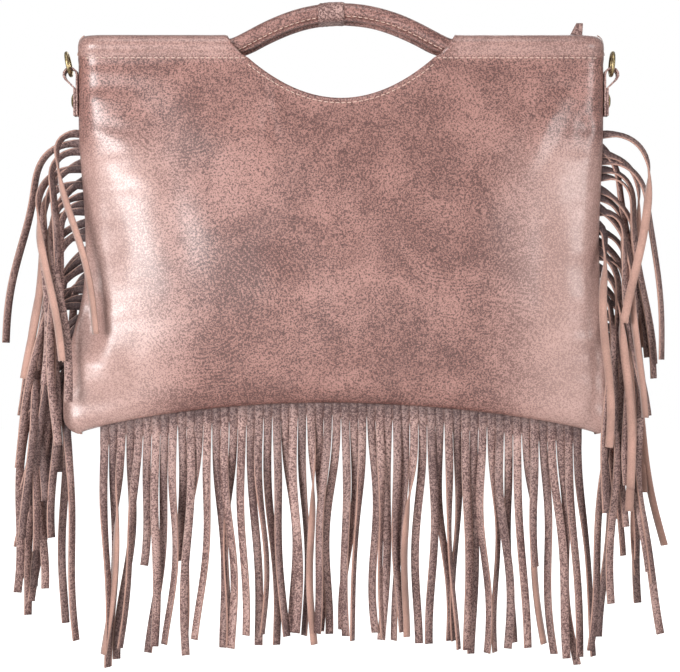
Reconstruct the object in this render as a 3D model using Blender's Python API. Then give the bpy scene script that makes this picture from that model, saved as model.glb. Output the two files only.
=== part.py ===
"""Fringed leather clutch bag with cut-out handles, drawn hanging from its handles.

The origin is under the middle of the two handles. +X is to the right of the front,
+Y runs from the front to the back, and +Z is up. All lengths are in metres.
"""

import math

import bmesh
import bpy
from mathutils import Vector
from mathutils.bvhtree import BVHTree

MM = 0.001

# Fits
GAP = 0.3 * MM  # between pieces that touch

# Bag
BAG_WIDTH = 384 * MM  # between the side seams at the top
BAG_HEIGHT = 291 * MM  # from the top edge to the bottom corners
LEATHER = 1.6 * MM
SEAM_ARCH = 23 * MM  # how far the bottom seam rises to its middle
ARCH_SHIFT = -12 * MM  # the top of that arch lies left of the middle
WAIST = 5 * MM  # how far the sides pull in
WAIST_DROP = 150 * MM  # below the top edge
HIP = 5 * MM  # how far the sides swell near the bottom
HIP_DROP = 262 * MM
SWAY_REACH = 46 * MM  # height over which a waist or hip fades
SIDE_ROUND = 14 * MM  # turned edge at the side seams
BOTTOM_ROUND = 13 * MM
CORNER_ROUND = 12 * MM
FLANK = 7 * MM  # half the filled depth near the bottom seam
BELLY = 20 * MM  # what the filling adds in the middle
FOLD_DEPTH = 3.2 * MM  # slanting hollow across the left of the front
FOLD_REACH = 26 * MM
FOLD_TOP_X = -172 * MM
FOLD_RUN_X = 50 * MM  # how far the hollow moves to the right on its way down
FOLD_TOP_DROP = 60 * MM
FOLD_RUN = 150 * MM

# Hem and scoop
GRIP_TO_HEM = 9 * MM  # the hem's top edge lies this far below the grip
HEM_DEPTH = 17.4 * MM  # from the top edge to the stitch line
SCOOP_HALF_WIDTH = 67 * MM  # at the stitch line
SCOOP_DEPTH = 29.6 * MM  # below the stitch line
HEM_CUT = 15 * MM  # how far the hem's ends are cut back at the top
HEM_CUT_CURVE = 0.6  # 1 is a straight slant, less is rounder

# Handles
CORE_RADIUS = 4.6 * MM
COVER = 1.2 * MM
FLANGE = 2.3 * MM  # stitched edge under a handle
HANDLE_HALF_SPAN = 81 * MM
HANDLE_SHOULDER = 22 * MM  # length of the lower bend
HANDLE_CROWN = 44 * MM  # half length of the upper bend
KEEPER_X = -7 * MM
KEEPER_WIDTH = 19 * MM
KEEPER = 0.9 * MM
KEEPER_STEPS = 8  # flats on each end of the keeper

# Fringe
STRIP_PITCH = 6.3 * MM
SLIT = 0.4 * MM
FRINGE_LEATHER = 1.8 * MM
FRINGE_INSERT = 6 * MM  # the part of the root band inside the seam
FRINGE_ROOT = 9 * MM  # uncut band outside the seam
BOTTOM_FRINGE_LENGTH = 172 * MM
SIDE_FRINGE_LENGTH = 164 * MM
SIDE_FRINGE_DROP = 68 * MM  # its upper end, below the top edge
SIDE_FRINGE_END = 8 * MM  # its lower end, above the bottom corner
BOTTOM_FRINGE_INSET = 13 * MM  # its ends, inside the side seams
LANE = 3.3 * MM  # neighbouring strips hang this far before and behind the seam
LANES_PART = 58 * MM  # below its root, a side strip has reached its own lane
STRIPS_TURN = 95 * MM  # below its root, a side strip has turned its face to the front

# Ring tabs
RING_RADIUS = 8.2 * MM
RING_WIRE = 1.4 * MM
LEFT_RING_LEAN = 11.0  # degrees outwards
RIGHT_RING_LEAN = 4.0
TAB_WIDTH = 10 * MM
TAB_LEATHER = 1.5 * MM
TAB_TOP_DROP = 28 * MM  # the loop's middle, below the top edge
TAB_LENGTH = 30 * MM
RIVET_DROP = 19 * MM  # below the loop's middle
RIVET_POST = 0.85 * MM
RIVET_HEAD = 5.2 * MM
RIVET_DOME = 1.6 * MM
BURR_RADIUS = 3.6 * MM
BURR = 1.2 * MM
RIVET_REACH = 6.5 * MM  # how far inside the side seam the burr sits

# Zip and lining
ZIP_DROP = 8 * MM  # below the lowest point of the scoop
ZIP_INSET = 29 * MM  # its ends, inside the side seams
GUSSET = 1.0 * MM
GUSSET_MOUTH = 7 * MM  # half the slot between the two gussets
TAPE = 0.6 * MM
TAPE_WIDTH = 11 * MM
TOOTH_HALF = 1.1 * MM  # half the height of a tooth row
TOOTH_REACH = 2.1 * MM
CHAIN_SLOT = 0.65 * MM  # half the slot between the rows, where the slider's neck runs
SLIDER_LENGTH = 11 * MM
SLIDER_PLATE = 0.9 * MM
SLIDER_FLANGE = 1.1 * MM
NECK = 0.7 * MM
BAIL = 0.9 * MM
PULL_BAR = 1.2 * MM
PULL_WIDTH = 5.4 * MM
PULL_LENGTH = 24 * MM
STOP = 2.2 * MM
TAIL = 1.2 * MM
TAIL_WIDTH = 6.4 * MM
END_TAB_WIDTH = 9.4 * MM
END_TAB_LENGTH = 13.5 * MM
END_TAB_LEATHER = 1.2 * MM
END_TAB_RISE = 10.5 * MM  # it stands this far above the top edge
TAIL_INSET = 17 * MM  # the tail's outer edge, inside the side seam
LINING = 0.6 * MM
LINING_END_FULLNESS = 8  # how squarely the lining fills its side ends
LINING_FOOT_FULLNESS = 12  # how squarely it fills its foot
LINING_INSET = 17 * MM  # inside the side seams

# Worked out from the sizes above
COVER_RADIUS = CORE_RADIUS + GAP + COVER
ARC_STEPS = 6
ROLL_RADIUS = (COVER_RADIUS + GAP) / math.cos(math.radians(21))
SEAM_HALF = FRINGE_LEATHER / 2 + GAP
TOP_Z = -GRIP_TO_HEM
ROLL_Z = TOP_Z - LEATHER - ROLL_RADIUS
STITCH_Z = TOP_Z - HEM_DEPTH
CORNER_Z = TOP_Z - BAG_HEIGHT
SCOOP_Z = STITCH_Z - SCOOP_DEPTH
HANDLE_Y = SEAM_HALF + LEATHER + ROLL_RADIUS
CROWN_Z = FLANGE + COVER_RADIUS
HALF_WIDTH = BAG_WIDTH / 2
ROUND_X = HALF_WIDTH - SIDE_ROUND
ZIP_HALF = HALF_WIDTH - ZIP_INSET
TAIL_X = HALF_WIDTH - TAIL_INSET
SLIDER_REST = ZIP_HALF - STOP - GAP - SLIDER_LENGTH / 2
SIDES = (("left", -1), ("right", 1))
FACES = (("front", -1), ("back", 1))


def smooth(t):
    """0 to 1, level at both ends."""
    t = min(1.0, max(0.0, t))
    return t * t * (3 - 2 * t)


def hump(t):
    """1 at t = 0, fading to 0 at t = 1 or -1."""
    return smooth(1 - abs(t))


def side_x(z):
    """The side seam's distance from the middle at height z."""
    drop = TOP_Z - z
    waist = WAIST * hump((drop - WAIST_DROP) / (2 * SWAY_REACH))
    hip = HIP * hump((drop - HIP_DROP) / (2 * SWAY_REACH))
    return HALF_WIDTH - waist + hip


def bottom_z(x):
    """Height of the arched bottom seam."""
    reach = HALF_WIDTH - ARCH_SHIFT if x > ARCH_SHIFT else HALF_WIDTH + ARCH_SHIFT
    t = min(1.0, abs(x - ARCH_SHIFT) / reach)
    return CORNER_Z + SEAM_ARCH * (1 - t * t)


def scoop_z(x):
    """Height of the cut-out's edge, or of the stitch line beside it."""
    t = min(1.0, abs(x) / SCOOP_HALF_WIDTH)
    return SCOOP_Z + SCOOP_DEPTH * t * t


def side_round(x):
    """Where x stands on the turned side edge: share of the full depth, and share sideways."""
    k = min(1.0, max(0.0, (abs(x) - ROUND_X) / SIDE_ROUND))
    return math.sqrt(1 - k * k), k


def filled_depth(x, z, front):
    """Depth of the stuffed panel's outer face in front of the seam's plane, without rounded edges."""
    low = bottom_z(x)
    h = min(1.0, max(0.0, (z - low) / (STITCH_Z - low)))
    hem = 1.75 * ROLL_RADIUS + LEATHER
    base = FLANK + (hem - FLANK) * h
    belly = BELLY * math.sin(math.pi * h**0.9) * (1 - (abs(x) / HALF_WIDTH) ** 2.5)
    fold = 0.0
    if front:
        t = (TOP_Z - FOLD_TOP_DROP - z) / FOLD_RUN
        line = FOLD_TOP_X + FOLD_RUN_X * t
        fold = FOLD_DEPTH * hump((x - line) / FOLD_REACH) * hump(2 * t - 1)
    return base + belly - fold


def tangent_angles(centre, radius, start, end):
    """Angles at which the lines from start and end touch a circle, the arc running anticlockwise."""
    angles = []
    for point, turn in ((start, 1), (end, -1)):
        dx, dz = point[0] - centre[0], point[1] - centre[1]
        reach = max(math.hypot(dx, dz), radius * 1.0001)
        angles.append(math.atan2(dz, dx) + turn * math.acos(radius / reach))
    first, last = angles
    while last < first:
        last += 2 * math.pi
    return first, last


def arc(centre, radii, first, last, steps):
    """Points on an ellipse from one angle to another."""
    points = []
    for k in range(steps + 1):
        a = first + (last - first) * k / steps
        points.append((centre[0] + radii[0] * math.cos(a), centre[1] + radii[1] * math.sin(a)))
    return points


def material(name, colour, roughness, metallic=0.0):
    """One Principled material, made once."""
    made = bpy.data.materials.get(name)
    if made:
        return made
    made = bpy.data.materials.new(name)
    made.use_nodes = True
    shader = made.node_tree.nodes["Principled BSDF"]
    shader.inputs["Base Color"].default_value = (*colour, 1)
    shader.inputs["Roughness"].default_value = roughness
    shader.inputs["Metallic"].default_value = metallic
    return made


def suede():
    return material("distressed_leather", (0.40, 0.27, 0.245), 0.55)


def fringe_leather():
    return material("fringe_suede", (0.36, 0.24, 0.22), 0.7)


def cord_filler():
    return material("cotton_cord", (0.62, 0.57, 0.50), 0.9)


def brass():
    return material("antique_brass", (0.47, 0.36, 0.22), 0.35, 1.0)


def lining_cloth():
    return material("lining_cloth", (0.13, 0.095, 0.085), 0.85)


def zip_cloth():
    return material("zip_tape_cloth", (0.20, 0.14, 0.125), 0.8)


def place(name, bm, mat, location=(0, 0, 0), tilt=0.0, sharp=40):
    """Turn a closed bmesh into a named object, faces outwards."""
    bmesh.ops.recalc_face_normals(bm, faces=bm.faces)
    mesh = bpy.data.meshes.new(name)
    bm.to_mesh(mesh)
    bm.free()
    mesh.materials.append(mat)
    mesh.shade_smooth()
    mesh.set_sharp_from_angle(angle=math.radians(sharp))
    made = bpy.data.objects.new(name, mesh)
    made.location = location
    made.rotation_euler = (0, tilt, 0)
    bpy.context.scene.collection.objects.link(made)
    return made


def shell(outer, inner, faces):
    """A wall between two copies of one grid, closed along the grid's open edges."""
    bm = bmesh.new()
    tops = [bm.verts.new(p) for p in outer]
    backs = [bm.verts.new(p) for p in inner]
    uses = {}
    for face in faces:
        bm.faces.new([tops[i] for i in face])
        bm.faces.new([backs[i] for i in reversed(face)])
        for a, b in zip(face, face[1:] + face[:1]):
            uses[(a, b)] = uses.get((a, b), 0) + 1
    for a, b in uses:
        if (b, a) not in uses:
            bm.faces.new([tops[b], tops[a], backs[a], backs[b]])
    return bm


def prism(outline, first, last, axis="Y"):
    """An outline of (u, v) points pulled straight along Y, or along Z with (x, y) points."""
    bm = bmesh.new()
    rows = []
    for w in (first, last):
        if axis == "Y":
            rows.append([bm.verts.new((u, w, v)) for u, v in outline])
        elif axis == "X":
            rows.append([bm.verts.new((w, u, v)) for u, v in outline])
        else:
            rows.append([bm.verts.new((u, v, w)) for u, v in outline])
    bm.faces.new(rows[0])
    bm.faces.new(list(reversed(rows[1])))
    for k in range(len(outline)):
        n = (k + 1) % len(outline)
        bm.faces.new([rows[0][k], rows[0][n], rows[1][n], rows[1][k]])
    return bm


def loft(rings, inner=None):
    """Join rings of points into a tube, capped, or open with an inner wall."""
    bm = bmesh.new()
    walls = [rings] if inner is None else [rings, inner]
    made = []
    for wall in walls:
        loops = [[bm.verts.new(p) for p in ring] for ring in wall]
        for low, high in zip(loops, loops[1:]):
            for k in range(len(low)):
                n = (k + 1) % len(low)
                bm.faces.new([low[k], low[n], high[n], high[k]])
        made.append(loops)
    if inner is None:
        bm.faces.new(made[0][0])
        bm.faces.new(list(reversed(made[0][-1])))
        return bm
    for end in (0, -1):
        rims = [loops[end] for loops in made]
        if len(rims[0]) == len(rims[1]):
            for k in range(len(rims[0])):
                n = (k + 1) % len(rims[0])
                bm.faces.new([rims[0][k], rims[0][n], rims[1][n], rims[1][k]])
            continue
        edges = [bm.edges.get((rim[k - 1], rim[k])) for rim in rims for k in range(len(rim))]
        bmesh.ops.bridge_loops(bm, edges=edges)
    return bm


def lathe(profile, steps):
    """Spin an (r, x) profile round the X axis; the profile starts and ends on the axis."""
    bm = bmesh.new()
    rings = []
    for r, x in profile:
        if r < 1e-9:
            rings.append([bm.verts.new((x, 0, 0))])
            continue
        ring = []
        for k in range(steps):
            a = 2 * math.pi * k / steps
            ring.append(bm.verts.new((x, r * math.cos(a), r * math.sin(a))))
        rings.append(ring)
    for low, high in zip(rings, rings[1:]):
        for k in range(steps):
            n = (k + 1) % steps
            corners = [low[k % len(low)], low[n % len(low)], high[n % len(high)], high[k % len(high)]]
            kept = []
            for corner in corners:
                if corner not in kept:
                    kept.append(corner)
            bm.faces.new(kept)
    return bm


def washer(outer, hole, thick, steps):
    """A flat ring round the X axis."""
    bm = bmesh.new()
    loops = []
    for r, x in ((outer, 0), (outer, thick), (hole, thick), (hole, 0)):
        ring = []
        for k in range(steps):
            a = 2 * math.pi * k / steps
            ring.append(bm.verts.new((x, r * math.cos(a), r * math.sin(a))))
        loops.append(ring)
    for low, high in zip(loops, loops[1:] + loops[:1]):
        for k in range(steps):
            n = (k + 1) % steps
            bm.faces.new([low[k], low[n], high[n], high[k]])
    return bm


def cut(target, cutter_mesh, name):
    """Cut a hidden helper out of a piece."""
    helper = place(name, cutter_mesh, cord_filler())
    helper.hide_render = True
    helper.display_type = "WIRE"
    step = target.modifiers.new(name, "BOOLEAN")
    step.operation = "DIFFERENCE"
    step.object = helper


def panel_columns():
    """Nominal x of each column of the panels' grid, from left to right."""
    scoop = [SCOOP_HALF_WIDTH * k / 4 for k in range(-4, 5)]
    flat = [SCOOP_HALF_WIDTH + (ROUND_X - SCOOP_HALF_WIDTH) * k / 3 for k in (1, 2, 3)]
    turned = [ROUND_X + SIDE_ROUND * math.sin(math.radians(a)) for a in (50, 90)]
    right = flat + turned
    return [-x for x in reversed(right)] + scoop + right


def panel_rows(x):
    """Heights of one column's rows, with how far each stands into the bottom's rounding."""
    low, top = bottom_z(x), scoop_z(x)
    rows = [(low, 1.0)]
    for angle in (30, 0):
        k = math.sin(math.radians(angle))
        rows.append((low + BOTTOM_ROUND * (1 - k), k))
    start = low + BOTTOM_ROUND
    stop = top - HEM_DEPTH / 4
    for share in (1 / 3, 2 / 3, 1):
        rows.append((start + (stop - start) * share, 0.0))
    rows.append((top, 0.0))
    return rows


def corner_pull(z):
    """How far the side edge draws in round the bottom corner."""
    k = min(1.0, max(0.0, 1 - (z - CORNER_Z) / CORNER_ROUND))
    return CORNER_ROUND * (1 - math.sqrt(1 - k * k))


def hem_section(x):
    """Outer and inner (depth, z) points of the hem at x, from the stitch line round to the flap's end."""
    share, _ = side_round(x)
    half = GAP / 2 + (ROLL_RADIUS - GAP / 2) * share
    centre = (SEAM_HALF + LEATHER + half, ROLL_Z)
    front = SEAM_HALF + LEATHER + GAP + 1.75 * (half - GAP / 2)
    flap = front - GAP
    # The arc is found on the full circle and squeezed with it towards the side seams.
    full_front = (ROLL_RADIUS * (front - centre[0]) / half, STITCH_Z - ROLL_Z)
    full_flap = (ROLL_RADIUS * (flap - centre[0]) / half, STITCH_Z - ROLL_Z)
    first, last = tangent_angles((0, 0), ROLL_RADIUS, full_front, full_flap)
    inner = [(front, STITCH_Z)] + arc(centre, (half, ROLL_RADIUS), first, last, ARC_STEPS)
    grown = (half + LEATHER, ROLL_RADIUS + LEATHER)
    outer = [(front + LEATHER, STITCH_Z)] + arc(centre, grown, first, last, ARC_STEPS)
    inner.append((flap, STITCH_Z))
    outer.append((flap - LEATHER, STITCH_Z))
    return outer, inner


def column_points(x, side):
    """Outer and inner points of one column of a panel, from the bottom seam to its top row."""
    share, out = side_round(x)
    outer, inner = [], []
    rows = panel_rows(x)
    for j, (z, k) in enumerate(rows):
        px = x * (side_x(z) - corner_pull(z)) / HALF_WIDTH
        if j == len(rows) - 1 and abs(x) > SCOOP_HALF_WIDTH - MM:
            skin, back = hem_section(x)
            outer.append((px, side * skin[0][0], z))
            inner.append((px, side * back[0][0], z))
            continue
        level = math.sqrt(1 - k * k)
        depth = SEAM_HALF + share * level * filled_depth(px, z, side < 0)
        outer.append((px, side * depth, z))
        shift = math.copysign(LEATHER * out, x)
        inner.append((px - shift, side * (depth - LEATHER * share * level), z + LEATHER * k))
    return outer, inner


def inside_depth(tree, x, z, side):
    """Depth of a panel's inner face at one place, found by looking straight out from the seam's plane."""
    hit = tree.ray_cast(Vector((x, 0, z)), Vector((0, side, 0)))
    return abs(hit[0].y) if hit[0] else SEAM_HALF


def clear_edge(tree, stations, heights, side):
    """An edge of (x, depth) points that runs just inside a panel between two heights."""

    def room(x):
        return min(inside_depth(tree, x, z, side) for z in heights) - GAP

    edge = [[x, room(x)] for x in stations]
    for a, b in zip(edge, edge[1:]):
        over = 0.0
        for t in (0.2, 0.4, 0.6, 0.8):
            over = max(over, a[1] + (b[1] - a[1]) * t - room(a[0] + (b[0] - a[0]) * t))
        a[1] -= over
        b[1] -= over
    return edge


def panel(name, side):
    """A stuffed leather panel with its arched bottom, scoop and hem folded over the handle."""
    columns = panel_columns()
    outer, inner, faces, index = [], [], [], {}
    hemmed = [abs(x) > SCOOP_HALF_WIDTH - MM for x in columns]
    for i, x in enumerate(columns):
        skin, back = column_points(x, side)
        for j in range(len(skin)):
            index[i, j] = len(outer) + j
        outer += skin
        inner += back
    last_row = len(panel_rows(0)) - 1
    for i in range(len(columns) - 1):
        for j in range(last_row):
            faces.append((index[i, j], index[i + 1, j], index[i + 1, j + 1], index[i, j + 1]))
    for i, x in enumerate(columns):
        if not hemmed[i]:
            continue
        skin, back = hem_section(x)
        at_scoop = max(0.0, 1 - (abs(x) - SCOOP_HALF_WIDTH) / (ROUND_X - SCOOP_HALF_WIDTH))
        for j in range(1, len(skin)):
            index[i, last_row + j] = len(outer)
            rise = max(0.0, back[j][1] - STITCH_Z) / (ROLL_Z + ROLL_RADIUS - STITCH_Z)
            px = x + math.copysign(HEM_CUT * at_scoop**2 * rise**HEM_CUT_CURVE, x)
            outer.append((px, side * skin[j][0], skin[j][1]))
            inner.append((px, side * back[j][0], back[j][1]))
    for i in range(len(columns) - 1):
        if hemmed[i] and hemmed[i + 1]:
            for j in range(last_row, last_row + ARC_STEPS + 2):
                faces.append((index[i, j], index[i + 1, j], index[i + 1, j + 1], index[i, j + 1]))
    made = shell(outer, inner, faces)
    tree = BVHTree.FromBMesh(made)
    place(name, made, suede())
    return tree


def handle_route():
    """Points (x, z) along the middle of a handle, from one end of the hem to the other."""
    ends = ROUND_X - GAP
    half = []
    for k in range(6):
        t = k / 5
        a, b, c = (1 - t) ** 3, 3 * t * (1 - t) ** 2, 3 * t * t * (1 - t)
        x = a * -HANDLE_HALF_SPAN - b * (HANDLE_HALF_SPAN - HANDLE_SHOULDER) - c * HANDLE_CROWN
        rise = c + t**3
        half.append((x, ROLL_Z + (CROWN_Z - ROLL_Z) * rise))
    left = [(-ends, ROLL_Z)] + half
    return left + [(-x, z) for x, z in reversed(left[:-1])]


def route_height(x):
    """Height of the handle's middle at x."""
    route = handle_route()
    for (x0, z0), (x1, z1) in zip(route, route[1:]):
        if x0 <= x <= x1:
            return z0 + (z1 - z0) * (x - x0) / (x1 - x0)
    return ROLL_Z


def along_handle(section, side):
    """Rings of a cross-section, a function of the share of the flange, set square to the handle."""
    route = handle_route()
    rings = []
    for k, (x, z) in enumerate(route):
        before, after = route[max(0, k - 1)], route[min(len(route) - 1, k + 1)]
        run = Vector((after[0] - before[0], after[1] - before[1])).normalized()
        free = smooth((z - ROLL_Z) / (0.25 * (CROWN_Z - ROLL_Z)))
        ring = []
        for p, q in section(free):
            ring.append((x - q * run[1], side * (HANDLE_Y + p), z + q * run[0]))
        rings.append(ring)
    return rings


def circle(radius, steps):
    """Flats at top and bottom."""
    points = []
    for k in range(steps):
        a = math.pi * (2 * k + 1) / steps
        points.append((radius * math.sin(a), radius * math.cos(a)))
    return points


def cover_section(free):
    """The leather tube with its stitched flange underneath, as (depth, height) points."""
    half = COVER + GAP / 2
    points = []
    for k in range(9):
        a = math.radians(-65 + 310 * k / 8)
        points.append((COVER_RADIUS * math.cos(a), COVER_RADIUS * math.sin(a)))
    drop = COVER_RADIUS * math.cos(math.radians(12)) + (FLANGE + 0.02 * COVER_RADIUS) * free
    points.append((-half, -drop))
    points.append((half, -drop))
    return points


def handles():
    """Two padded handles, each a cord in a stitched leather tube, and the keeper round both."""
    bore = (CORE_RADIUS + GAP) / math.cos(math.pi / 8)
    for name, side in FACES:
        core = along_handle(lambda free: circle(CORE_RADIUS, 8), side)
        place(f"{name}_handle_core", loft(core), cord_filler(), sharp=60)
        skin = along_handle(cover_section, side)
        hole = along_handle(lambda free: circle(bore, 8), side)
        place(f"{name}_handle_cover", loft(skin, hole), suede(), sharp=50)


def keeper():
    """A plain leather band wrapped round both handles."""
    edges = [KEEPER_X - KEEPER_WIDTH / 2, KEEPER_X + KEEPER_WIDTH / 2]
    stations = [x for x, _ in handle_route() if edges[0] + MM < x < edges[1] - MM]
    turn = 180 / KEEPER_STEPS
    reach = (COVER_RADIUS + GAP) / math.cos(math.radians(turn / 2))
    outline = []
    for side, start in ((1, -90), (-1, 90)):
        for k in range(KEEPER_STEPS + 1):
            a = math.radians(start + turn * k)
            outline.append((side * HANDLE_Y, math.cos(a), math.sin(a)))
    walls = ([], [])
    for x in sorted(edges + stations):
        for wall, radius in zip(walls, (reach + KEEPER, reach)):
            ring = []
            for middle, c, s in outline:
                low = FLANGE + 0.02 * COVER_RADIUS if s < -0.5 else 0.0
                ring.append((x, middle + radius * c, route_height(x) + radius * s - low))
            wall.append(ring)
    place("handle_keeper", loft(*walls), suede(), sharp=50)


def ribbon(bm, root, middles, widths, normals, half_width, half_thick):
    """A leather strip from four root corners through a list of cross-sections."""
    last = root
    for middle, width, normal in zip(middles, widths, normals):
        w, t = width * half_width, normal * half_thick
        ring = [bm.verts.new(middle + a * w + b * t) for a, b in ((1, 1), (-1, 1), (-1, -1), (1, -1))]
        a, b = last, ring
        for corners in ((a[0], a[1], b[1]), (a[0], b[1], b[0]), (a[3], b[2], a[2]), (a[3], b[3], b[2])):
            bm.faces.new(corners)
        for corners in ((a[1], a[2], b[2], b[1]), (a[3], a[0], b[0], b[3])):
            bm.faces.new(corners)
        last = ring
    bm.faces.new(last)


def fringe(name, start, stop, place_on_seam, strip_route):
    """A leather band held in a seam, cut into strips along its free edge."""
    count = int((stop - start) / STRIP_PITCH)
    first = (start + stop - count * STRIP_PITCH) / 2
    half = (STRIP_PITCH - SLIT) / 2
    bm = bmesh.new()
    faces = []
    for y in (-FRINGE_LEATHER / 2, FRINGE_LEATHER / 2):
        held, free = [], []
        for k in range(0, count + 1, 3):
            a = first + STRIP_PITCH * k
            x, z = place_on_seam(a, -FRINGE_INSERT)
            held.append(bm.verts.new((x, y, z)))
        for k in range(count):
            for a in (first + STRIP_PITCH * (k + 0.5) - half, first + STRIP_PITCH * (k + 0.5) + half):
                x, z = place_on_seam(a, FRINGE_ROOT)
                free.append(bm.verts.new((x, y, z)))
        bm.faces.new(held + list(reversed(free)))
        faces.append((held, free))
    (held0, free0), (held1, free1) = faces
    loop0, loop1 = held0 + free0[::-1], held1 + free1[::-1]
    for k in range(len(loop0)):
        n = (k + 1) % len(loop0)
        is_root = k >= len(held0) and (k - len(held0)) % 2 == 0
        if not is_root:
            bm.faces.new([loop0[k], loop0[n], loop1[n], loop1[k]])
    for k in range(count):
        a, b = free0[2 * k], free0[2 * k + 1]
        c, d = free1[2 * k], free1[2 * k + 1]
        middle = (a.co + b.co + c.co + d.co) / 4
        middles, widths, normals = strip_route(k, first + STRIP_PITCH * (k + 0.5), middle)
        ribbon(bm, [b, a, c, d], middles, widths, normals, half, FRINGE_LEATHER / 2)
    place(name, bm, fringe_leather(), sharp=30)


def bottom_strip(k, x, root):
    """Route of one strip of the bottom fringe, hanging in its own lane."""
    lane = LANE if k % 2 else -LANE
    sway = 0.42 * STRIP_PITCH * math.sin(2.4 * k + 0.6)
    fan = 0.02 * (x / HALF_WIDTH) * BOTTOM_FRINGE_LENGTH
    twist = math.radians(34) * math.sin(1.7 * k)
    free = BOTTOM_FRINGE_LENGTH - FRINGE_ROOT + 3 * MM * math.sin(5.1 * k)
    middles, widths, normals = [], [], []
    for share in (0.2, 0.47, 0.73, 1.0):
        away = smooth(share / 0.3)
        swing = sway * math.sin(math.pi * share * 0.9) * away
        middle = Vector((root.x + swing + fan * share, lane * away, root.z - free * share))
        angle = twist * smooth(share)
        middles.append(middle)
        widths.append(Vector((math.cos(angle), math.sin(angle), 0)))
        normals.append(Vector((math.sin(angle), -math.cos(angle), 0)))
    return middles, widths, normals


def side_strip(side):
    """Route maker for the strips of a side fringe: out of the seam, over, and down."""
    hang_x = HALF_WIDTH + HIP + FRINGE_ROOT + FRINGE_LEATHER
    near, far = LANE, 3 * LANE + GAP
    slope = (FRINGE_LEATHER + GAP) / (2 * STRIP_PITCH)
    wide_slope = (STRIP_PITCH - SLIT + GAP) / (4 * STRIP_PITCH)
    spread, turned = LANES_PART, STRIPS_TURN

    def route(k, z, root):
        face = -1 if k % 2 else 1
        end = far if k % 4 > 1 else near
        run = hang_x - abs(root.x)
        free = SIDE_FRINGE_LENGTH - FRINGE_ROOT - run + 3 * MM * math.sin(4.3 * k)
        stages = (
            (root.x + side * 0.34 * run, 0.4 * near, 0.0, 45, 0),
            (root.x + side * 0.76 * run, near, 1.2 * MM, 90, 20),
            (side * (hang_x + slope * 15 * MM), near, 15 * MM, 90, 90),
            (side * (hang_x + slope * spread), end, spread, 90, 90),
            (side * (hang_x + slope * spread + wide_slope * (turned - spread)), end, turned, 148, 90),
            (side * (hang_x + slope * spread + wide_slope * (free - spread)), end, free, 160, 90),
        )
        middles, widths, normals = [], [], []
        for x, y, drop, turn, bend in stages:
            middles.append(Vector((x, face * y, root.z - drop)))
            b, a = math.radians(bend), math.radians(turn)
            tangent = Vector((side * math.cos(b), 0, -math.sin(b)))
            up = Vector((side * math.sin(b), 0, math.cos(b)))
            width = up * math.cos(a) + Vector((0, face, 0)) * math.sin(a)
            normal = tangent.cross(width) * side
            widths.append(width)
            normals.append(normal)
        return middles, widths, normals

    return route


def fringes():
    """The bottom fringe and one fringe in each side seam."""
    reach = HALF_WIDTH - BOTTOM_FRINGE_INSET
    fringe("bottom_fringe", -reach, reach, lambda a, b: (a, bottom_z(a) - b), bottom_strip)
    low = CORNER_Z + SIDE_FRINGE_END
    high = TOP_Z - SIDE_FRINGE_DROP
    for name, side in SIDES:
        fringe(
            f"{name}_fringe",
            low,
            high,
            lambda a, b, side=side: (side * (side_x(a) + b), a),
            side_strip(side),
        )


def loop_radius():
    """The tab's loop leaves room for the curved ring across the tab's width."""
    bore = RING_RADIUS - RING_WIRE
    half = min(TAB_WIDTH / 2, 0.95 * bore)
    return (RING_RADIUS - math.sqrt(bore**2 - half**2) + GAP) / math.cos(math.radians(18))


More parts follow.
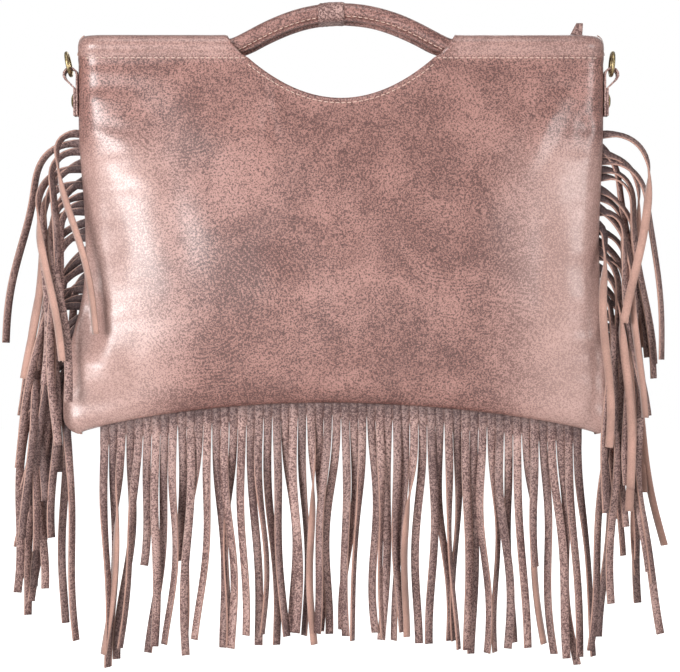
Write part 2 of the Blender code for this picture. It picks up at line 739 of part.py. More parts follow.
def ring_tab(name, side):
    """A leather strap folded through a ring and riveted to the side, with its ring."""
    loop = loop_radius()
    z = TOP_Z - TAB_TOP_DROP
    foot = z - TAB_LENGTH
    near = HALF_WIDTH + GAP
    hinge_x = near + TAB_LEATHER + loop
    outer_face = near + TAB_LEATHER + GAP
    joined = z - 2.4 * loop
    start, end = (near + TAB_LEATHER, foot), (outer_face, joined)
    last, first = tangent_angles((hinge_x, z), loop, end, start)
    if first < last:
        first += 2 * math.pi
    inside = arc((hinge_x, z), (loop, loop), first, last, 7)
    grown = loop + TAB_LEATHER
    outside = arc((hinge_x, z), (grown, grown), first, last, 7)
    lap = outer_face + TAB_LEATHER
    outline = [(near, foot)] + outside + [(lap, joined), (lap, foot), (outer_face, foot), end]
    outline += inside[::-1] + [start]
    outline = [(side * u, v) for u, v in outline]
    strap = place(f"{name}_ring_tab", prism(outline, -TAB_WIDTH / 2, TAB_WIDTH / 2), suede())
    rivet_z = z - RIVET_DROP
    hole = lathe([(0, 0), (RIVET_POST + GAP, 0), (RIVET_POST + GAP, 20 * MM), (0, 20 * MM)], 10)
    bmesh.ops.translate(hole, verts=hole.verts, vec=(side * hinge_x - 10 * MM, 0, rivet_z))
    cut(strap, hole, f"{name}_rivet_hole")
    head_x = lap + GAP
    burr_x = HALF_WIDTH - RIVET_REACH
    rivet = lathe(
        [
            (0, head_x + RIVET_DOME),
            (0.66 * RIVET_HEAD, head_x + 0.8 * RIVET_DOME),
            (RIVET_HEAD, head_x + 0.25 * RIVET_DOME),
            (RIVET_HEAD, head_x),
            (RIVET_POST, head_x),
            (RIVET_POST, burr_x - BURR - GAP),
            (0, burr_x - BURR - GAP),
        ],
        10,
    )
    burr = washer(BURR_RADIUS, RIVET_POST + GAP, BURR, 10)
    bmesh.ops.translate(burr, verts=burr.verts, vec=(burr_x - BURR, 0, 0))
    for part, bm in (("rivet", rivet), ("rivet_burr", burr)):
        if side < 0:
            bmesh.ops.scale(bm, verts=bm.verts, vec=(-1, 1, 1))
        place(f"{name}_{part}", bm, brass(), (0, 0, rivet_z))
    ring = bmesh.new()
    loops = []
    for k in range(16):
        a = 2 * math.pi * k / 16
        row = []
        for m in range(6):
            b = 2 * math.pi * m / 6
            r = RING_RADIUS + RING_WIRE * math.cos(b)
            row.append(ring.verts.new((RING_WIRE * math.sin(b), r * math.sin(a), RING_RADIUS + r * math.cos(a))))
        loops.append(row)
    for k in range(16):
        for m in range(6):
            low, high, n = loops[k], loops[(k + 1) % 16], (m + 1) % 6
            ring.faces.new([low[m], low[n], high[n], high[m]])
    lean = math.radians(LEFT_RING_LEAN if side < 0 else RIGHT_RING_LEAN)
    place(f"{name}_ring", ring, brass(), (side * hinge_x, 0, z), tilt=side * lean, sharp=80)


def zip_level():
    """Height of the middle of the tooth rows."""
    return SCOOP_Z - ZIP_DROP


def gussets_and_tapes(trees):
    """Flat strips from each panel to the zip, and the zip's tapes under them."""
    level = zip_level()
    tape_top = level + TAPE / 2
    low = tape_top + GAP
    for name, side in FACES:
        stations = [ZIP_HALF * (2 * k / 16 - 1) for k in range(17)]
        line = clear_edge(trees[side], stations, (low, low + GUSSET), side)
        edge = [(x, side * depth) for x, depth in line]
        outline = [(-ZIP_HALF, side * GUSSET_MOUTH), (ZIP_HALF, side * GUSSET_MOUTH)] + edge[::-1]
        place(f"{name}_zip_gusset", prism(outline, low, low + GUSSET, "Z"), suede())
        near = CHAIN_SLOT + TOOTH_REACH + GAP
        reach = min(near + TAPE_WIDTH, line[0][1] - 2 * GAP, line[-1][1] - 2 * GAP)
        outline = [(-ZIP_HALF, side * near), (ZIP_HALF, side * near)]
        outline += [(ZIP_HALF, side * reach), (-ZIP_HALF, side * reach)]
        place(f"{name}_zip_tape", prism(outline, level - TAPE / 2, tape_top, "Z"), zip_cloth())
        ends = ZIP_HALF - STOP - GAP
        outline = [(-ends, side * CHAIN_SLOT), (ends, side * CHAIN_SLOT)]
        outline += [(ends, side * (near - GAP)), (-ends, side * (near - GAP))]
        row = prism(outline, level - TOOTH_HALF, level + TOOTH_HALF, "Z")
        place(f"{name}_zip_teeth", row, brass())
        outline = [(ends + GAP, side * CHAIN_SLOT), (ZIP_HALF, side * CHAIN_SLOT)]
        outline += [(ZIP_HALF, side * (near - GAP)), (ends + GAP, side * (near - GAP))]
        stop = prism(outline, level - 1.3 * TOOTH_HALF, level + 1.3 * TOOTH_HALF, "Z")
        place(f"{name}_zip_top_stop", stop, brass())
    width = CHAIN_SLOT + TOOTH_REACH
    outline = [(-ZIP_HALF, -width), (-ZIP_HALF + STOP, -width), (-ZIP_HALF + STOP, width), (-ZIP_HALF, width)]
    stop = prism(outline, level - 1.3 * TOOTH_HALF, level + 1.3 * TOOTH_HALF, "Z")
    place("zip_bottom_stop", stop, brass())


def zip_slider():
    """Slider body of two plates and a neck, and its pull on a bail."""
    level = zip_level()
    inner = TOOTH_HALF + GAP
    plate = inner + SLIDER_PLATE
    half_length = SLIDER_LENGTH / 2
    half = CHAIN_SLOT + TOOTH_REACH + GAP + SLIDER_FLANGE
    lip = TAPE / 2 + GAP
    # A section across the chain: two channels joined by the neck, with room for both tapes.
    corner = half - SLIDER_FLANGE
    quarter = [(NECK / 2, inner), (corner, inner), (corner, lip), (half, lip), (half, plate)]
    section = [(u, -v) for u, v in reversed(quarter)] + quarter
    section += [(-u, v) for u, v in reversed(quarter)] + [(-u, -v) for u, v in quarter]
    body = prism(section, -half_length, half_length, "X")
    # The nose is narrower than the mouth.
    for v in body.verts:
        if v.co.x < 0 and abs(v.co.y) > half - SLIDER_FLANGE / 2:
            v.co.y -= math.copysign(0.35 * SLIDER_FLANGE, v.co.y)
    slider = place("zip_slider", body, brass(), (SLIDER_REST, 0, level))
    foot = plate - 0.2 * MM
    clear = PULL_BAR + 2 * GAP
    arch_top = plate + clear
    bail_half = PULL_BAR / 2 + GAP + BAIL
    outline = [
        (-bail_half, foot),
        (-bail_half, arch_top),
        (-bail_half + BAIL / 2, arch_top + BAIL),
        (bail_half - BAIL / 2, arch_top + BAIL),
        (bail_half, arch_top),
        (bail_half, foot),
        (bail_half - BAIL, foot),
        (bail_half - BAIL, arch_top),
        (-bail_half + BAIL, arch_top),
        (-bail_half + BAIL, foot),
    ]
    bail = place("bail", prism(outline, -BAIL, BAIL), brass(), (SLIDER_REST, 0, level))
    bail.hide_render = True
    bail.display_type = "WIRE"
    join = slider.modifiers.new("bail", "BOOLEAN")
    join.operation = "UNION"
    join.object = bail
    pull(level + plate + GAP + PULL_BAR / 2)


def pull(z):
    """A flat pull whose bar passes through the bail, lying along the closed teeth."""
    bar = PULL_BAR / 2
    hole_half = BAIL + 2 * GAP
    arm = math.hypot(bar + GAP + BAIL, bar + GAP + BAIL) + GAP
    wide = max(PULL_WIDTH / 2, hole_half + GAP)
    outline = [(bar, -wide), (bar, wide), (-arm - bar, wide), (-0.8 * PULL_LENGTH, 1.15 * wide)]
    outline += [(-PULL_LENGTH, 0.55 * wide), (-PULL_LENGTH, -0.55 * wide)]
    outline += [(-0.8 * PULL_LENGTH, -1.15 * wide), (-arm - bar, -wide)]
    piece = place("zip_pull", prism(outline, -bar, bar, "Z"), brass(), (SLIDER_REST, 0, z))
    eye = [(SLIDER_REST - bar, -hole_half), (SLIDER_REST - bar, hole_half)]
    eye += [(SLIDER_REST - arm, hole_half), (SLIDER_REST - arm, -hole_half)]
    cut(piece, prism(eye, z - 2 * bar, z + 2 * bar, "Z"), "pull_eye")


def zip_tail():
    """The zip's folded tail, rising between the hems to its leather end tab."""
    level = zip_level()
    top = TOP_Z + END_TAB_RISE
    foot = top - END_TAB_LENGTH
    half = TAIL / 2
    left = TAIL_X - TAIL_WIDTH
    inside, outside = half + GAP, half + GAP + END_TAB_LEATHER
    peak = top - outside + inside - GAP
    start = ZIP_HALF + GAP
    outline = [(start, level - TAPE / 2), (TAIL_X - TAIL_WIDTH / 2, level - TAPE / 2)]
    outline += [(TAIL_X, level + TAIL_WIDTH / 2), (TAIL_X, peak), (left, peak)]
    outline += [(left, level + 1.6 * TAIL_WIDTH), (start, level + TAIL_WIDTH)]
    place("zip_tail", prism(outline, -half, half), zip_cloth())
    section = [(-outside, foot)] + arc((0, top - outside), (outside, outside), math.pi, 0, 6)
    section += [(outside, foot), (inside, foot)]
    section += arc((0, top - outside), (inside, inside), 0, math.pi, 6) + [(-inside, foot)]
    middle = TAIL_X - TAIL_WIDTH / 2
    tab = prism(section, middle - END_TAB_WIDTH / 2, middle + END_TAB_WIDTH / 2, "X")
    place("zip_end_tab", tab, suede())


def lining(trees):
    """A cloth bag inside the panels, hanging open under the zip."""
    top = zip_level() - TAPE / 2 - GAP
    steps, levels = 10, 6
    reach = HALF_WIDTH - LINING_INSET

    def ring(share, inset):
        points = []
        for side in (-1, 1):
            row = []
            for k in range(steps + 1):
                x = -1 + 2 * k / steps
                x = (reach - inset) * math.sin(x * math.pi / 2)
                low = bottom_z(x) + FRINGE_INSERT + 2 * MM + inset
                z = top + (low - top) * share
                room = inside_depth(trees[side], x, z, side) - 2 * GAP
                ends = math.sqrt(max(0.0, 1 - (abs(x) / (reach - inset)) ** LINING_END_FULLNESS))
                base = math.sqrt(max(0.0, 1 - share**LINING_FOOT_FULLNESS))
                seam = 2 * LINING - inset
                row.append((x, side * (seam + (room - inset - seam) * ends * base), z))
            points += row if side < 0 else row[::-1]
        return points

    outer = [ring(j / levels, 0) for j in range(levels + 1)]
    inner = [ring(j / levels, LINING) for j in range(levels + 1)]
    bm = bmesh.new()
    walls = []
    for wall in (outer, inner):
        loops = [[bm.verts.new(p) for p in loop] for loop in wall]
        for low, high in zip(loops, loops[1:]):
            for k in range(len(low)):
                n = (k + 1) % len(low)
                bm.faces.new([low[k], low[n], high[n], high[k]])
        foot = loops[-1]
        for k in range(steps):
            a, b = foot[k], foot[k + 1]
            c, d = foot[-k - 2], foot[-k - 1]
            bm.faces.new([a, b, c, d])
        walls.append(loops[0])
    count = len(walls[0])
    for k in range(count):
        n = (k + 1) % count
        bm.faces.new([walls[0][k], walls[0][n], walls[1][n], walls[1][k]])
    place("lining", bm, lining_cloth(), sharp=60)


def main():
    for old in list(bpy.data.objects):
        bpy.data.objects.remove(old, do_unlink=True)
    trees = {side: panel(f"{name}_panel", side) for name, side in FACES}
    handles()
    keeper()
    lining(trees)
    fringes()
    for name, side in SIDES:
        ring_tab(name, side)
    gussets_and_tapes(trees)
    zip_slider()
    zip_tail()


main()
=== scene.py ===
"""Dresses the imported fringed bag: soft leather, padded handles, stitching, fringe, brass and a plain studio.

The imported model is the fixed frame. Every piece made here lies where its solid lies and rides on its body.
Lengths are in metres, +X is to the right of the front, +Y runs from the front to the back, +Z is up.
"""

import math

import bmesh
import bpy
from bpy.props import FloatProperty, FloatVectorProperty, IntProperty, PointerProperty
from mathutils import Matrix, Vector, noise


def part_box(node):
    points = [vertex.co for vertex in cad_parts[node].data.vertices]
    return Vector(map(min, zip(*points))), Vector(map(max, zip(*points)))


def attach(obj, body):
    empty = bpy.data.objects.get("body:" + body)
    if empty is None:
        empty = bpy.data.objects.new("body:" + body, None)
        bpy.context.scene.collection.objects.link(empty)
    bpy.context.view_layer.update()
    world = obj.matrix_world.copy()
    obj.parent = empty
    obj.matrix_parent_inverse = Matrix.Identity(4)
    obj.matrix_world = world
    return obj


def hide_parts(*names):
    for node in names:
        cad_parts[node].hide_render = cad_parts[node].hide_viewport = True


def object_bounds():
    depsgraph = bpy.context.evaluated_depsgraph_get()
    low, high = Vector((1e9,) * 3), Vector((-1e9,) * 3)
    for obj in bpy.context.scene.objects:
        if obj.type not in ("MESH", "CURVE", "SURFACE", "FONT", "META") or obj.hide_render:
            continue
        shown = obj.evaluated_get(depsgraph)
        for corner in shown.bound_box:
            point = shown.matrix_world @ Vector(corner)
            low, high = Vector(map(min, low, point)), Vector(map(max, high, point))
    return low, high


bl_info = {
    "name": "Fringed Bag Dresser",
    "version": (1, 0, 0),
    "blender": (4, 5, 0),
    "location": "View3D > Sidebar > Bag",
    "description": "Builds the visible leather, thread, fringe and brass of a fringed bag",
    "category": "Object",
}

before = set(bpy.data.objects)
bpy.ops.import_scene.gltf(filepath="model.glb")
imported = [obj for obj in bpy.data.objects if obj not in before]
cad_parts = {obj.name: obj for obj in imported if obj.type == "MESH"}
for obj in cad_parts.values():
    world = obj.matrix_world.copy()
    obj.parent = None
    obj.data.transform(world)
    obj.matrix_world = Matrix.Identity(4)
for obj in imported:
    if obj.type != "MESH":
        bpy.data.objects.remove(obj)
CAD_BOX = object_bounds()

MM = 0.001

# Places and sizes shared with the solids, in metres.
GAP = 0.3 * MM
HALF_WIDTH = 192 * MM
LEATHER = 1.6 * MM
TOP_Z = -9 * MM
STITCH_Z = -26.4 * MM
SCOOP_Z = -56 * MM
SCOOP_HALF_WIDTH = 67 * MM
SCOOP_DEPTH = 29.6 * MM
CORNER_Z = -300 * MM
SEAM_ARCH = 23 * MM
ARCH_SHIFT = -12 * MM
SIDE_ROUND = 14 * MM
ROUND_X = HALF_WIDTH - SIDE_ROUND
BOTTOM_ROUND = 13 * MM
CORNER_ROUND = 12 * MM
HEM_CORNER = 8 * MM
SEAM_HALF = 1.2 * MM
COVER_RADIUS = 6.1 * MM
ROLL_RADIUS = 6.855 * MM
ROLL_Z = TOP_Z - LEATHER - ROLL_RADIUS
HANDLE_Y = SEAM_HALF + LEATHER + ROLL_RADIUS
FLANGE = 2.3 * MM
CROWN_Z = FLANGE + COVER_RADIUS
CORD = 4.6 * MM
HANDLE_HALF_SPAN = 81 * MM
HANDLE_CROWN = 44 * MM
KEEPER_X = -7 * MM
KEEPER_HALF = 9.5 * MM
RING_RADIUS = 8.2 * MM
RING_WIRE = 1.4 * MM
RING_X = 197.892 * MM
RING_Z = TOP_Z - 28 * MM
SIDES = (("left", -1), ("right", 1))
FACES = (("front", -1), ("back", 1))

# Sizes that only the visible pieces use. The handle bends up more steeply here than its solid does.
SHOULDER = 11 * MM
TUBE = 5.7 * MM
HANDLE_STEPS = 72
HEM_STEPS = 22
SKIN = 1.3 * MM  # leather of the panels
PROUD = 0.15 * MM  # how far the stitches stand out
SHORT_STRIPS = (5, 9, 50)  # in the bottom fringe, numbered from the left

# The studio. The photograph is 680 pixels wide, at 0.725 mm a pixel, and the sensor's width is in mm.
FLOOR_DROP = 25 * MM
CAMERA_DISTANCE = 1.40
SENSOR = 36
WIDTH_SEEN = 680 * 0.725 * MM


def linear(hex_value):
    """An sRGB hex colour as linear red, green, blue and alpha."""
    channels = []
    for start in (0, 2, 4):
        c = int(hex_value[start : start + 2], 16) / 255
        channels.append(c / 12.92 if c <= 0.04045 else ((c + 0.055) / 1.055) ** 2.4)
    return (*channels, 1.0)


class BagSizes(bpy.types.PropertyGroup):
    """Sizes a maker would change."""

    stitch_pitch: FloatProperty(
        name="Stitch pitch", description="From one stitch to the next", default=4.2 * MM, unit="LENGTH"
    )
    thread: FloatProperty(
        name="Thread", description="Thickness of the sewing thread", default=0.62 * MM, unit="LENGTH"
    )
    strip_pitch: FloatProperty(
        name="Strip pitch", description="Width of a strip with its slit", default=6.3 * MM, unit="LENGTH"
    )
    strip_leather: FloatProperty(
        name="Strip leather", description="Thickness of the fringe leather", default=1.3 * MM, unit="LENGTH"
    )
    tooth_pitch: FloatProperty(
        name="Tooth pitch", description="From one zip tooth to the next", default=2.4 * MM, unit="LENGTH"
    )
    wrinkle: FloatProperty(
        name="Wrinkle", description="How crumpled the leather is, 1 as in life", default=1.0, min=0, max=2
    )
    seed: IntProperty(name="Seed", description="Chooses how the strips fall", default=4, min=0)


COLOUR = {"subtype": "COLOR", "size": 4}


class BagColours(bpy.types.PropertyGroup):
    """Colours of the leather, thread and brass, as linear values of sRGB hex values."""

    grain: FloatVectorProperty(
        name="Grain side", description="Pale ground of the leather", default=linear("996F66"), **COLOUR
    )
    grain_dark: FloatVectorProperty(
        name="Crackle", description="Dark crackle in the leather", default=linear("45221D"), **COLOUR
    )
    flesh: FloatVectorProperty(
        name="Flesh side", description="Bare back of the leather", default=linear("AA8477"), **COLOUR
    )
    thread: FloatVectorProperty(name="Thread", description="Pale thread", default=linear("CFB3A5"), **COLOUR)
    brass: FloatVectorProperty(name="Brass", description="Aged brass", default=linear("B5A27A"), **COLOUR)


def smooth(t):
    """0 to 1, level at both ends."""
    t = min(1.0, max(0.0, t))
    return t * t * (3 - 2 * t)


def hump(t):
    """1 at t = 0, fading to 0 at t = 1 or -1."""
    return smooth(1 - abs(t))


def chance(*key):
    """A repeatable number from 0 to 1 for a key."""
    third = key[2] if len(key) > 2 else 0
    return noise.cell(Vector((key[0] * 7.31 + 0.5, key[1] * 3.17 + 0.5, third * 5.7 + 0.5))) % 1.0


def side_x(z, side):
    """The side seam's distance from the middle at height z, with the left hip fuller than the right."""
    waist, hip = (5.0 * MM, 12.0 * MM) if side < 0 else (3.0 * MM, 7.0 * MM)
    drop = TOP_Z - z
    taken_in = waist * hump((drop - 152 * MM) / (92 * MM))
    return HALF_WIDTH - taken_in + hip * hump((drop - 266 * MM) / (88 * MM))


def bottom_z(x):
    """Height of the arched bottom seam."""
    reach = HALF_WIDTH - ARCH_SHIFT if x > ARCH_SHIFT else HALF_WIDTH + ARCH_SHIFT
    t = min(1.0, abs(x - ARCH_SHIFT) / reach)
    return CORNER_Z + SEAM_ARCH * (1 - t * t)


def scoop_z(x):
    """Height of the cut-out's edge, or of the stitch line beside it."""
    t = min(1.0, abs(x) / SCOOP_HALF_WIDTH)
    return SCOOP_Z + SCOOP_DEPTH * t * t


def side_round(x):
    """Share of the full depth at x on the turned side edge."""
    k = min(1.0, max(0.0, (abs(x) - ROUND_X) / SIDE_ROUND))
    return math.sqrt(1 - k * k)


def crumple(x, z, side):
    """Small rises and hollows of soft leather over loose filling, in metres."""
    low = bottom_z(x)
    high = scoop_z(x)
    p = Vector((x, 0.7 * side, z))
    broad = 1.7 * MM * noise.noise(p * 13) + 0.8 * MM * noise.noise(p * 31 + Vector((3, 0, 0)))
    edge = smooth((abs(x) - 128 * MM) / (50 * MM))
    ribs = noise.noise(Vector((x * 26, side * 2.0, z * 95)))
    broad += edge * 1.25 * MM * ribs
    pucker = hump((z - low) / (26 * MM))
    broad += pucker * 0.75 * MM * noise.noise(Vector((x * 75, side * 5.0, z * 20)))
    if side < 0:
        # The crease under the left end of the scoop, and the dent near the right edge.
        across = (x + 51 * MM + 0.12 * (z + 60 * MM)) / (7 * MM)
        broad -= 2.4 * MM * hump(across) * hump((z + 62 * MM) / (34 * MM))
        broad -= 2.2 * MM * hump((x - 178 * MM) / (9 * MM)) * hump((z + 78 * MM) / (13 * MM))
        across = (x - 152 * MM - 0.45 * (z + 70 * MM)) / (14 * MM)
        broad += 1.6 * MM * hump(across) * hump((z + 80 * MM) / (45 * MM))
    fade = smooth((z - low) / (9 * MM)) * smooth((high - z) / (16 * MM))
    return broad * fade * bpy.context.scene.bag_sizes.wrinkle


def skin_depth(x, z, side):
    """Depth of a panel's outer face from the seam's plane, without its rounded edges."""
    low = bottom_z(x)
    h = min(1.0, max(0.0, (z - low) / (STITCH_Z - low)))
    hem = 1.75 * ROLL_RADIUS + LEATHER
    belly = 20 * MM * math.sin(math.pi * h**0.9) * (1 - (abs(x) / HALF_WIDTH) ** 2.5)
    fold = 0.0
    if side < 0:
        # A long soft fold runs down the left side, and ends in a hollow above the full lower corner.
        line = -184 * MM + 20 * MM * smooth((-70 * MM - z) / (100 * MM))
        length = smooth((z + 225 * MM) / (45 * MM)) * smooth((-48 * MM - z) / (45 * MM))
        fold = 3.6 * MM * (1 - smooth((x - line + 15 * MM) / (30 * MM))) * length
        fold -= 1.4 * MM * hump((x - line - 26 * MM) / (30 * MM)) * length
        fold += 8.5 * MM * hump((x + 182 * MM) / (15 * MM)) * hump((z + 219 * MM) / (32 * MM))
        fold -= 4.0 * MM * hump((x + 174 * MM) / (28 * MM)) * hump((z + 252 * MM) / (32 * MM))
        fold -= 3.4 * MM * hump((x + 50 * MM) / (9 * MM)) * hump((z + 60 * MM) / (27 * MM))
        fold -= 2.4 * MM * hump((x - 166 * MM) / (24 * MM)) * hump((z + 180 * MM) / (90 * MM))
    groove = 0.7 * MM * hump((z - STITCH_Z) / (3.2 * MM)) if abs(x) > SCOOP_HALF_WIDTH - MM else 0.0
    return 7 * MM + (hem - 7 * MM) * h + belly - fold - groove + crumple(x, z, side)


def skin_point(x, z, side, proud=0.0):
    """A point on, or a little proud of, a panel's outer face, at nominal x."""
    k = min(1.0, max(0.0, 1 - (z - CORNER_Z) / CORNER_ROUND))
    edge = side_x(z, math.copysign(1, x)) - CORNER_ROUND * (1 - math.sqrt(1 - k * k))
    reach = smooth(abs(x) / (110 * MM))
    px = x * (1 + (edge / HALF_WIDTH - 1) * reach)
    b = min(1.0, max(0.0, 1 - (z - bottom_z(x)) / BOTTOM_ROUND))
    level = math.sqrt(1 - b * b)
    return Vector((px, side * (SEAM_HALF + side_round(x) * level * skin_depth(px, z, side) + proud), z))


def look(name):
    """A material made by one of the finishes below."""
    return bpy.data.materials[name]


def wire(tree, node, *links):
    """Link or set (input, value) pairs of a node. A value that is a node stands for its first output."""
    for place, value in links:
        value = value.outputs[0] if isinstance(value, bpy.types.Node) else value
        if isinstance(value, bpy.types.NodeSocket):
            tree.links.new(value, node.inputs[place])
        else:
            node.inputs[place].default_value = value


def add(tree, kind, *links, stops=(), **settings):
    """Add one node with its settings, ramp stops and (input, value) pairs."""
    node = tree.nodes.new(kind)
    for key, value in settings.items():
        setattr(node, key, value)
    for n, (place, colour) in enumerate(stops):
        ends = node.color_ramp.elements
        element = ends[n] if n < len(ends) else ends.new(place)
        element.position, element.color = place, colour
    wire(tree, node, *links)
    return node


def new_look(name):
    """An empty material with its shader, and the object's own coordinates."""
    made = bpy.data.materials.new(name)
    made.use_nodes = True
    tree = made.node_tree
    shader = tree.nodes["Principled BSDF"]
    return tree, shader, tree.nodes.new("ShaderNodeTexCoord").outputs["Object"]


def darker(colour, share):
    """A colour with its light cut to a share, fully opaque."""
    return (*(c * share for c in colour[:3]), 1)


WHITE, BLACK = (1, 1, 1, 1), (0, 0, 0, 1)

# Kinds of node that are used more than once.
MATH, MIX, MAP, RAMP = "ShaderNodeMath", "ShaderNodeMix", "ShaderNodeMapRange", "ShaderNodeValToRGB"
NOISE, CELLS, WAVE = "ShaderNodeTexNoise", "ShaderNodeTexVoronoi", "ShaderNodeTexWave"
BUMP, LIGHT_PATH = "ShaderNodeBump", "ShaderNodeLightPath"


def crackled_leather(name, pale, middle, dark, rubbed_and_sheen_pale, roughness, wax):
    """Chrome-tanned leather, waxed or left dry: dark crackle in soft patches, with round rubbing marks."""
    tree, shader, at = new_look(name)
    here = ("Vector", at)
    soft, plus = {"interpolation_type": "SMOOTHSTEP"}, {"operation": "MULTIPLY_ADD"}
    # Worn patches about 50 mm across, broken up down to a few millimetres.
    patch = add(tree, NOISE, here, ("Scale", 19.0), ("Detail", 7.0), ("Roughness", 0.7), ("Distortion", 0.5))
    heavy = add(tree, RAMP, ("Fac", patch), stops=((0.36, BLACK), (0.70, WHITE)))
    # Rubbing marks: arcs 2.7 mm apart round scattered middles about 95 mm apart, shown only in places.
    push = add(tree, NOISE, here, ("Scale", 30.0), ("Detail", 1.0))
    middles = add(tree, CELLS, here, ("Scale", 10.5), ("Randomness", 1.0), feature="F1")
    far = add(tree, MATH, (0, push), (1, 0.16), (2, middles), **plus)
    turns = add(tree, MATH, (0, far), (1, 220.0), operation="MULTIPLY")
    wave = add(tree, MATH, (0, turns), operation="SINE")
    spread = add(tree, NOISE, here, ("Scale", 16.0), ("Detail", 2.0))
    few = add(tree, RAMP, ("Fac", spread), stops=((0.47, BLACK), (0.60, WHITE)))
    # Near its middle a ring would look like a target, so only wide arcs are kept.
    wide = add(tree, MAP, ("Value", middles), ("From Min", 0.28), ("From Max", 0.5), **soft)
    shown = add(tree, MATH, (0, few), (1, wide), operation="MULTIPLY")
    rubbed = add(tree, MATH, (0, wave), (1, shown), operation="MULTIPLY")
    # Dark crackle about 1.2 mm across, a little coarser than real, thicker in patches and along the marks.
    crack = add(tree, NOISE, here, ("Scale", 820.0), ("Detail", 3.0), ("Roughness", 0.8))
    marked = add(tree, MATH, (0, rubbed), (1, 0.034), (2, crack), **plus)
    raised = add(tree, MATH, (0, heavy), (1, 0.10), (2, marked), **plus)
    dots = add(tree, RAMP, ("Fac", raised), stops=((0.49, BLACK), (0.59, WHITE)))
    ground = add(tree, MIX, (0, heavy), (6, pale), (7, middle), data_type="RGBA")
    # The waxed panels are painted paler at the full sides and on the hems beside the handles: partly wear from
    # handling, partly a painted sheen where the lamps catch the rounded leather.
    place = add(tree, "ShaderNodeSeparateXYZ", here)
    off = add(tree, MATH, (0, place.outputs["X"]), operation="ABSOLUTE")
    out = add(tree, MAP, ("Value", off), ("From Min", 88 * MM), ("From Max", 172 * MM), **soft)
    level = ("Value", place.outputs["Z"])
    low = add(tree, MAP, level, ("From Min", -62 * MM), ("From Max", -112 * MM), **soft)
    sides = add(tree, MATH, (0, out), (1, low), operation="MULTIPLY")
    ends = ("From Min", 74 * MM), ("From Max", 88 * MM), ("To Max", 0.6)
    past = add(tree, MAP, ("Value", off), *ends, **soft)
    high = add(tree, MAP, level, ("From Min", -27 * MM), ("From Max", -23 * MM), **soft)
    hems = add(tree, MATH, (0, past), (1, high), operation="MULTIPLY")
    wear_and_sheen = add(tree, MATH, (0, sides), (1, hems), operation="MAXIMUM")
    fade = add(tree, MATH, (0, wear_and_sheen), (1, 0.73 * wax), operation="MULTIPLY")
    wear_and_sheen_paled = add(tree, MIX, (0, fade), (6, ground.outputs[2]), (7, rubbed_and_sheen_pale), data_type="RGBA")
    # Fewer crackle dots there too, so that the painted sheen reads smooth.
    kept = add(tree, MATH, (0, wear_and_sheen), (1, -0.7 * wax), (2, 1.0), **plus)
    left = add(tree, MATH, (0, dots), (1, kept), operation="MULTIPLY")
    stained = add(tree, MIX, (0, left), (6, wear_and_sheen_paled.outputs[2]), (7, dark), data_type="RGBA")
    # Strips carry a darker tone of their own at random, and painted shade at their roots beside the seam and
    # on the back row of the bottom fringe; other pieces have no such attribute.
    root = add(tree, "ShaderNodeAttribute", attribute_name="tone_and_painted_shade")
    tone_and_shade = (6, stained.outputs[2]), (7, linear("33272A"))
    shaded = add(tree, MIX, (0, root.outputs["Fac"]), *tone_and_shade, data_type="RGBA")
    # Waxed high places shine, dry crackle doesn't.
    dull = add(tree, MATH, (0, dots), (1, 0.22), (2, roughness), **plus)
    # Grain pebbles about 1.7 mm across, a little coarser than real so that they show.
    pebble = add(tree, CELLS, here, ("Scale", 590.0), ("Randomness", 1.0), feature="DISTANCE_TO_EDGE")
    grain = add(tree, MATH, (0, pebble), (1, 0.6), operation="MULTIPLY")
    relief = add(tree, MATH, (0, raised), (1, -0.9), (2, grain), **plus)
    bump = add(tree, BUMP, ("Height", relief), ("Strength", 0.4), ("Distance", 0.35 * MM))
    colour = ("Base Color", shaded.outputs[2])
    wire(tree, shader, colour, ("Roughness", dull), ("Normal", bump))
    wire(tree, shader, ("Coat Weight", wax), ("Coat Roughness", 0.31))


def flesh_leather(colours):
    """The bare back and the cut edges of split leather: short matted fibre, peach coloured and quite matt."""
    tree, shader, at = new_look("flesh_side_leather")
    # Matted fibre about 1.1 mm across, coarser than real so that it shows, in clouds about 25 mm across.
    nap = add(tree, NOISE, ("Vector", at), ("Scale", 900.0), ("Detail", 3.0), ("Roughness", 0.7))
    cloud = add(tree, NOISE, ("Vector", at), ("Scale", 40.0), ("Detail", 2.0))
    mixed = add(tree, MATH, (0, nap), (1, cloud), operation="MULTIPLY")
    ends = (0.12, darker(colours.flesh, 0.62)), (0.36, tuple(colours.flesh))
    tint = add(tree, RAMP, ("Fac", mixed), stops=ends)
    bump = add(tree, BUMP, ("Height", nap), ("Strength", 0.3), ("Distance", 0.3 * MM))
    wire(tree, shader, ("Base Color", tint), ("Normal", bump))
    wire(tree, shader, ("Roughness", 0.88), ("Sheen Weight", 0.25))


def sewing_thread(colours):
    """Waxed, twisted polyester thread: soft shine along each ply."""
    tree, shader, at = new_look("waxed_polyester_thread")
    # One ply shows about every 1.2 mm.
    ply = add(tree, WAVE, ("Vector", at), ("Scale", 520.0), ("Distortion", 1.0), bands_direction="DIAGONAL")
    ends = (0.1, darker(colours.thread, 0.7)), (0.7, tuple(colours.thread))
    tint = add(tree, RAMP, ("Fac", ply.outputs["Fac"]), stops=ends)
    wire(tree, shader, ("Base Color", tint), ("Roughness", 0.55))


def aged_brass(colours):
    """Cast brass, chemically darkened and rubbed bright where hands touch it."""
    tree, shader, at = new_look("aged_cast_brass")
    # Tarnish in specks about 2.6 mm across.
    tarnish = add(tree, NOISE, ("Vector", at), ("Scale", 380.0), ("Detail", 4.0), ("Roughness", 0.6))
    ends = (0.36, darker(colours.brass, 0.38)), (0.62, tuple(colours.brass))
    tint = add(tree, RAMP, ("Fac", tarnish), stops=ends)
    wear = add(tree, MATH, (0, tarnish), (1, -0.22), (2, 0.48), operation="MULTIPLY_ADD")
    wire(tree, shader, ("Base Color", tint), ("Metallic", 1.0), ("Roughness", wear))


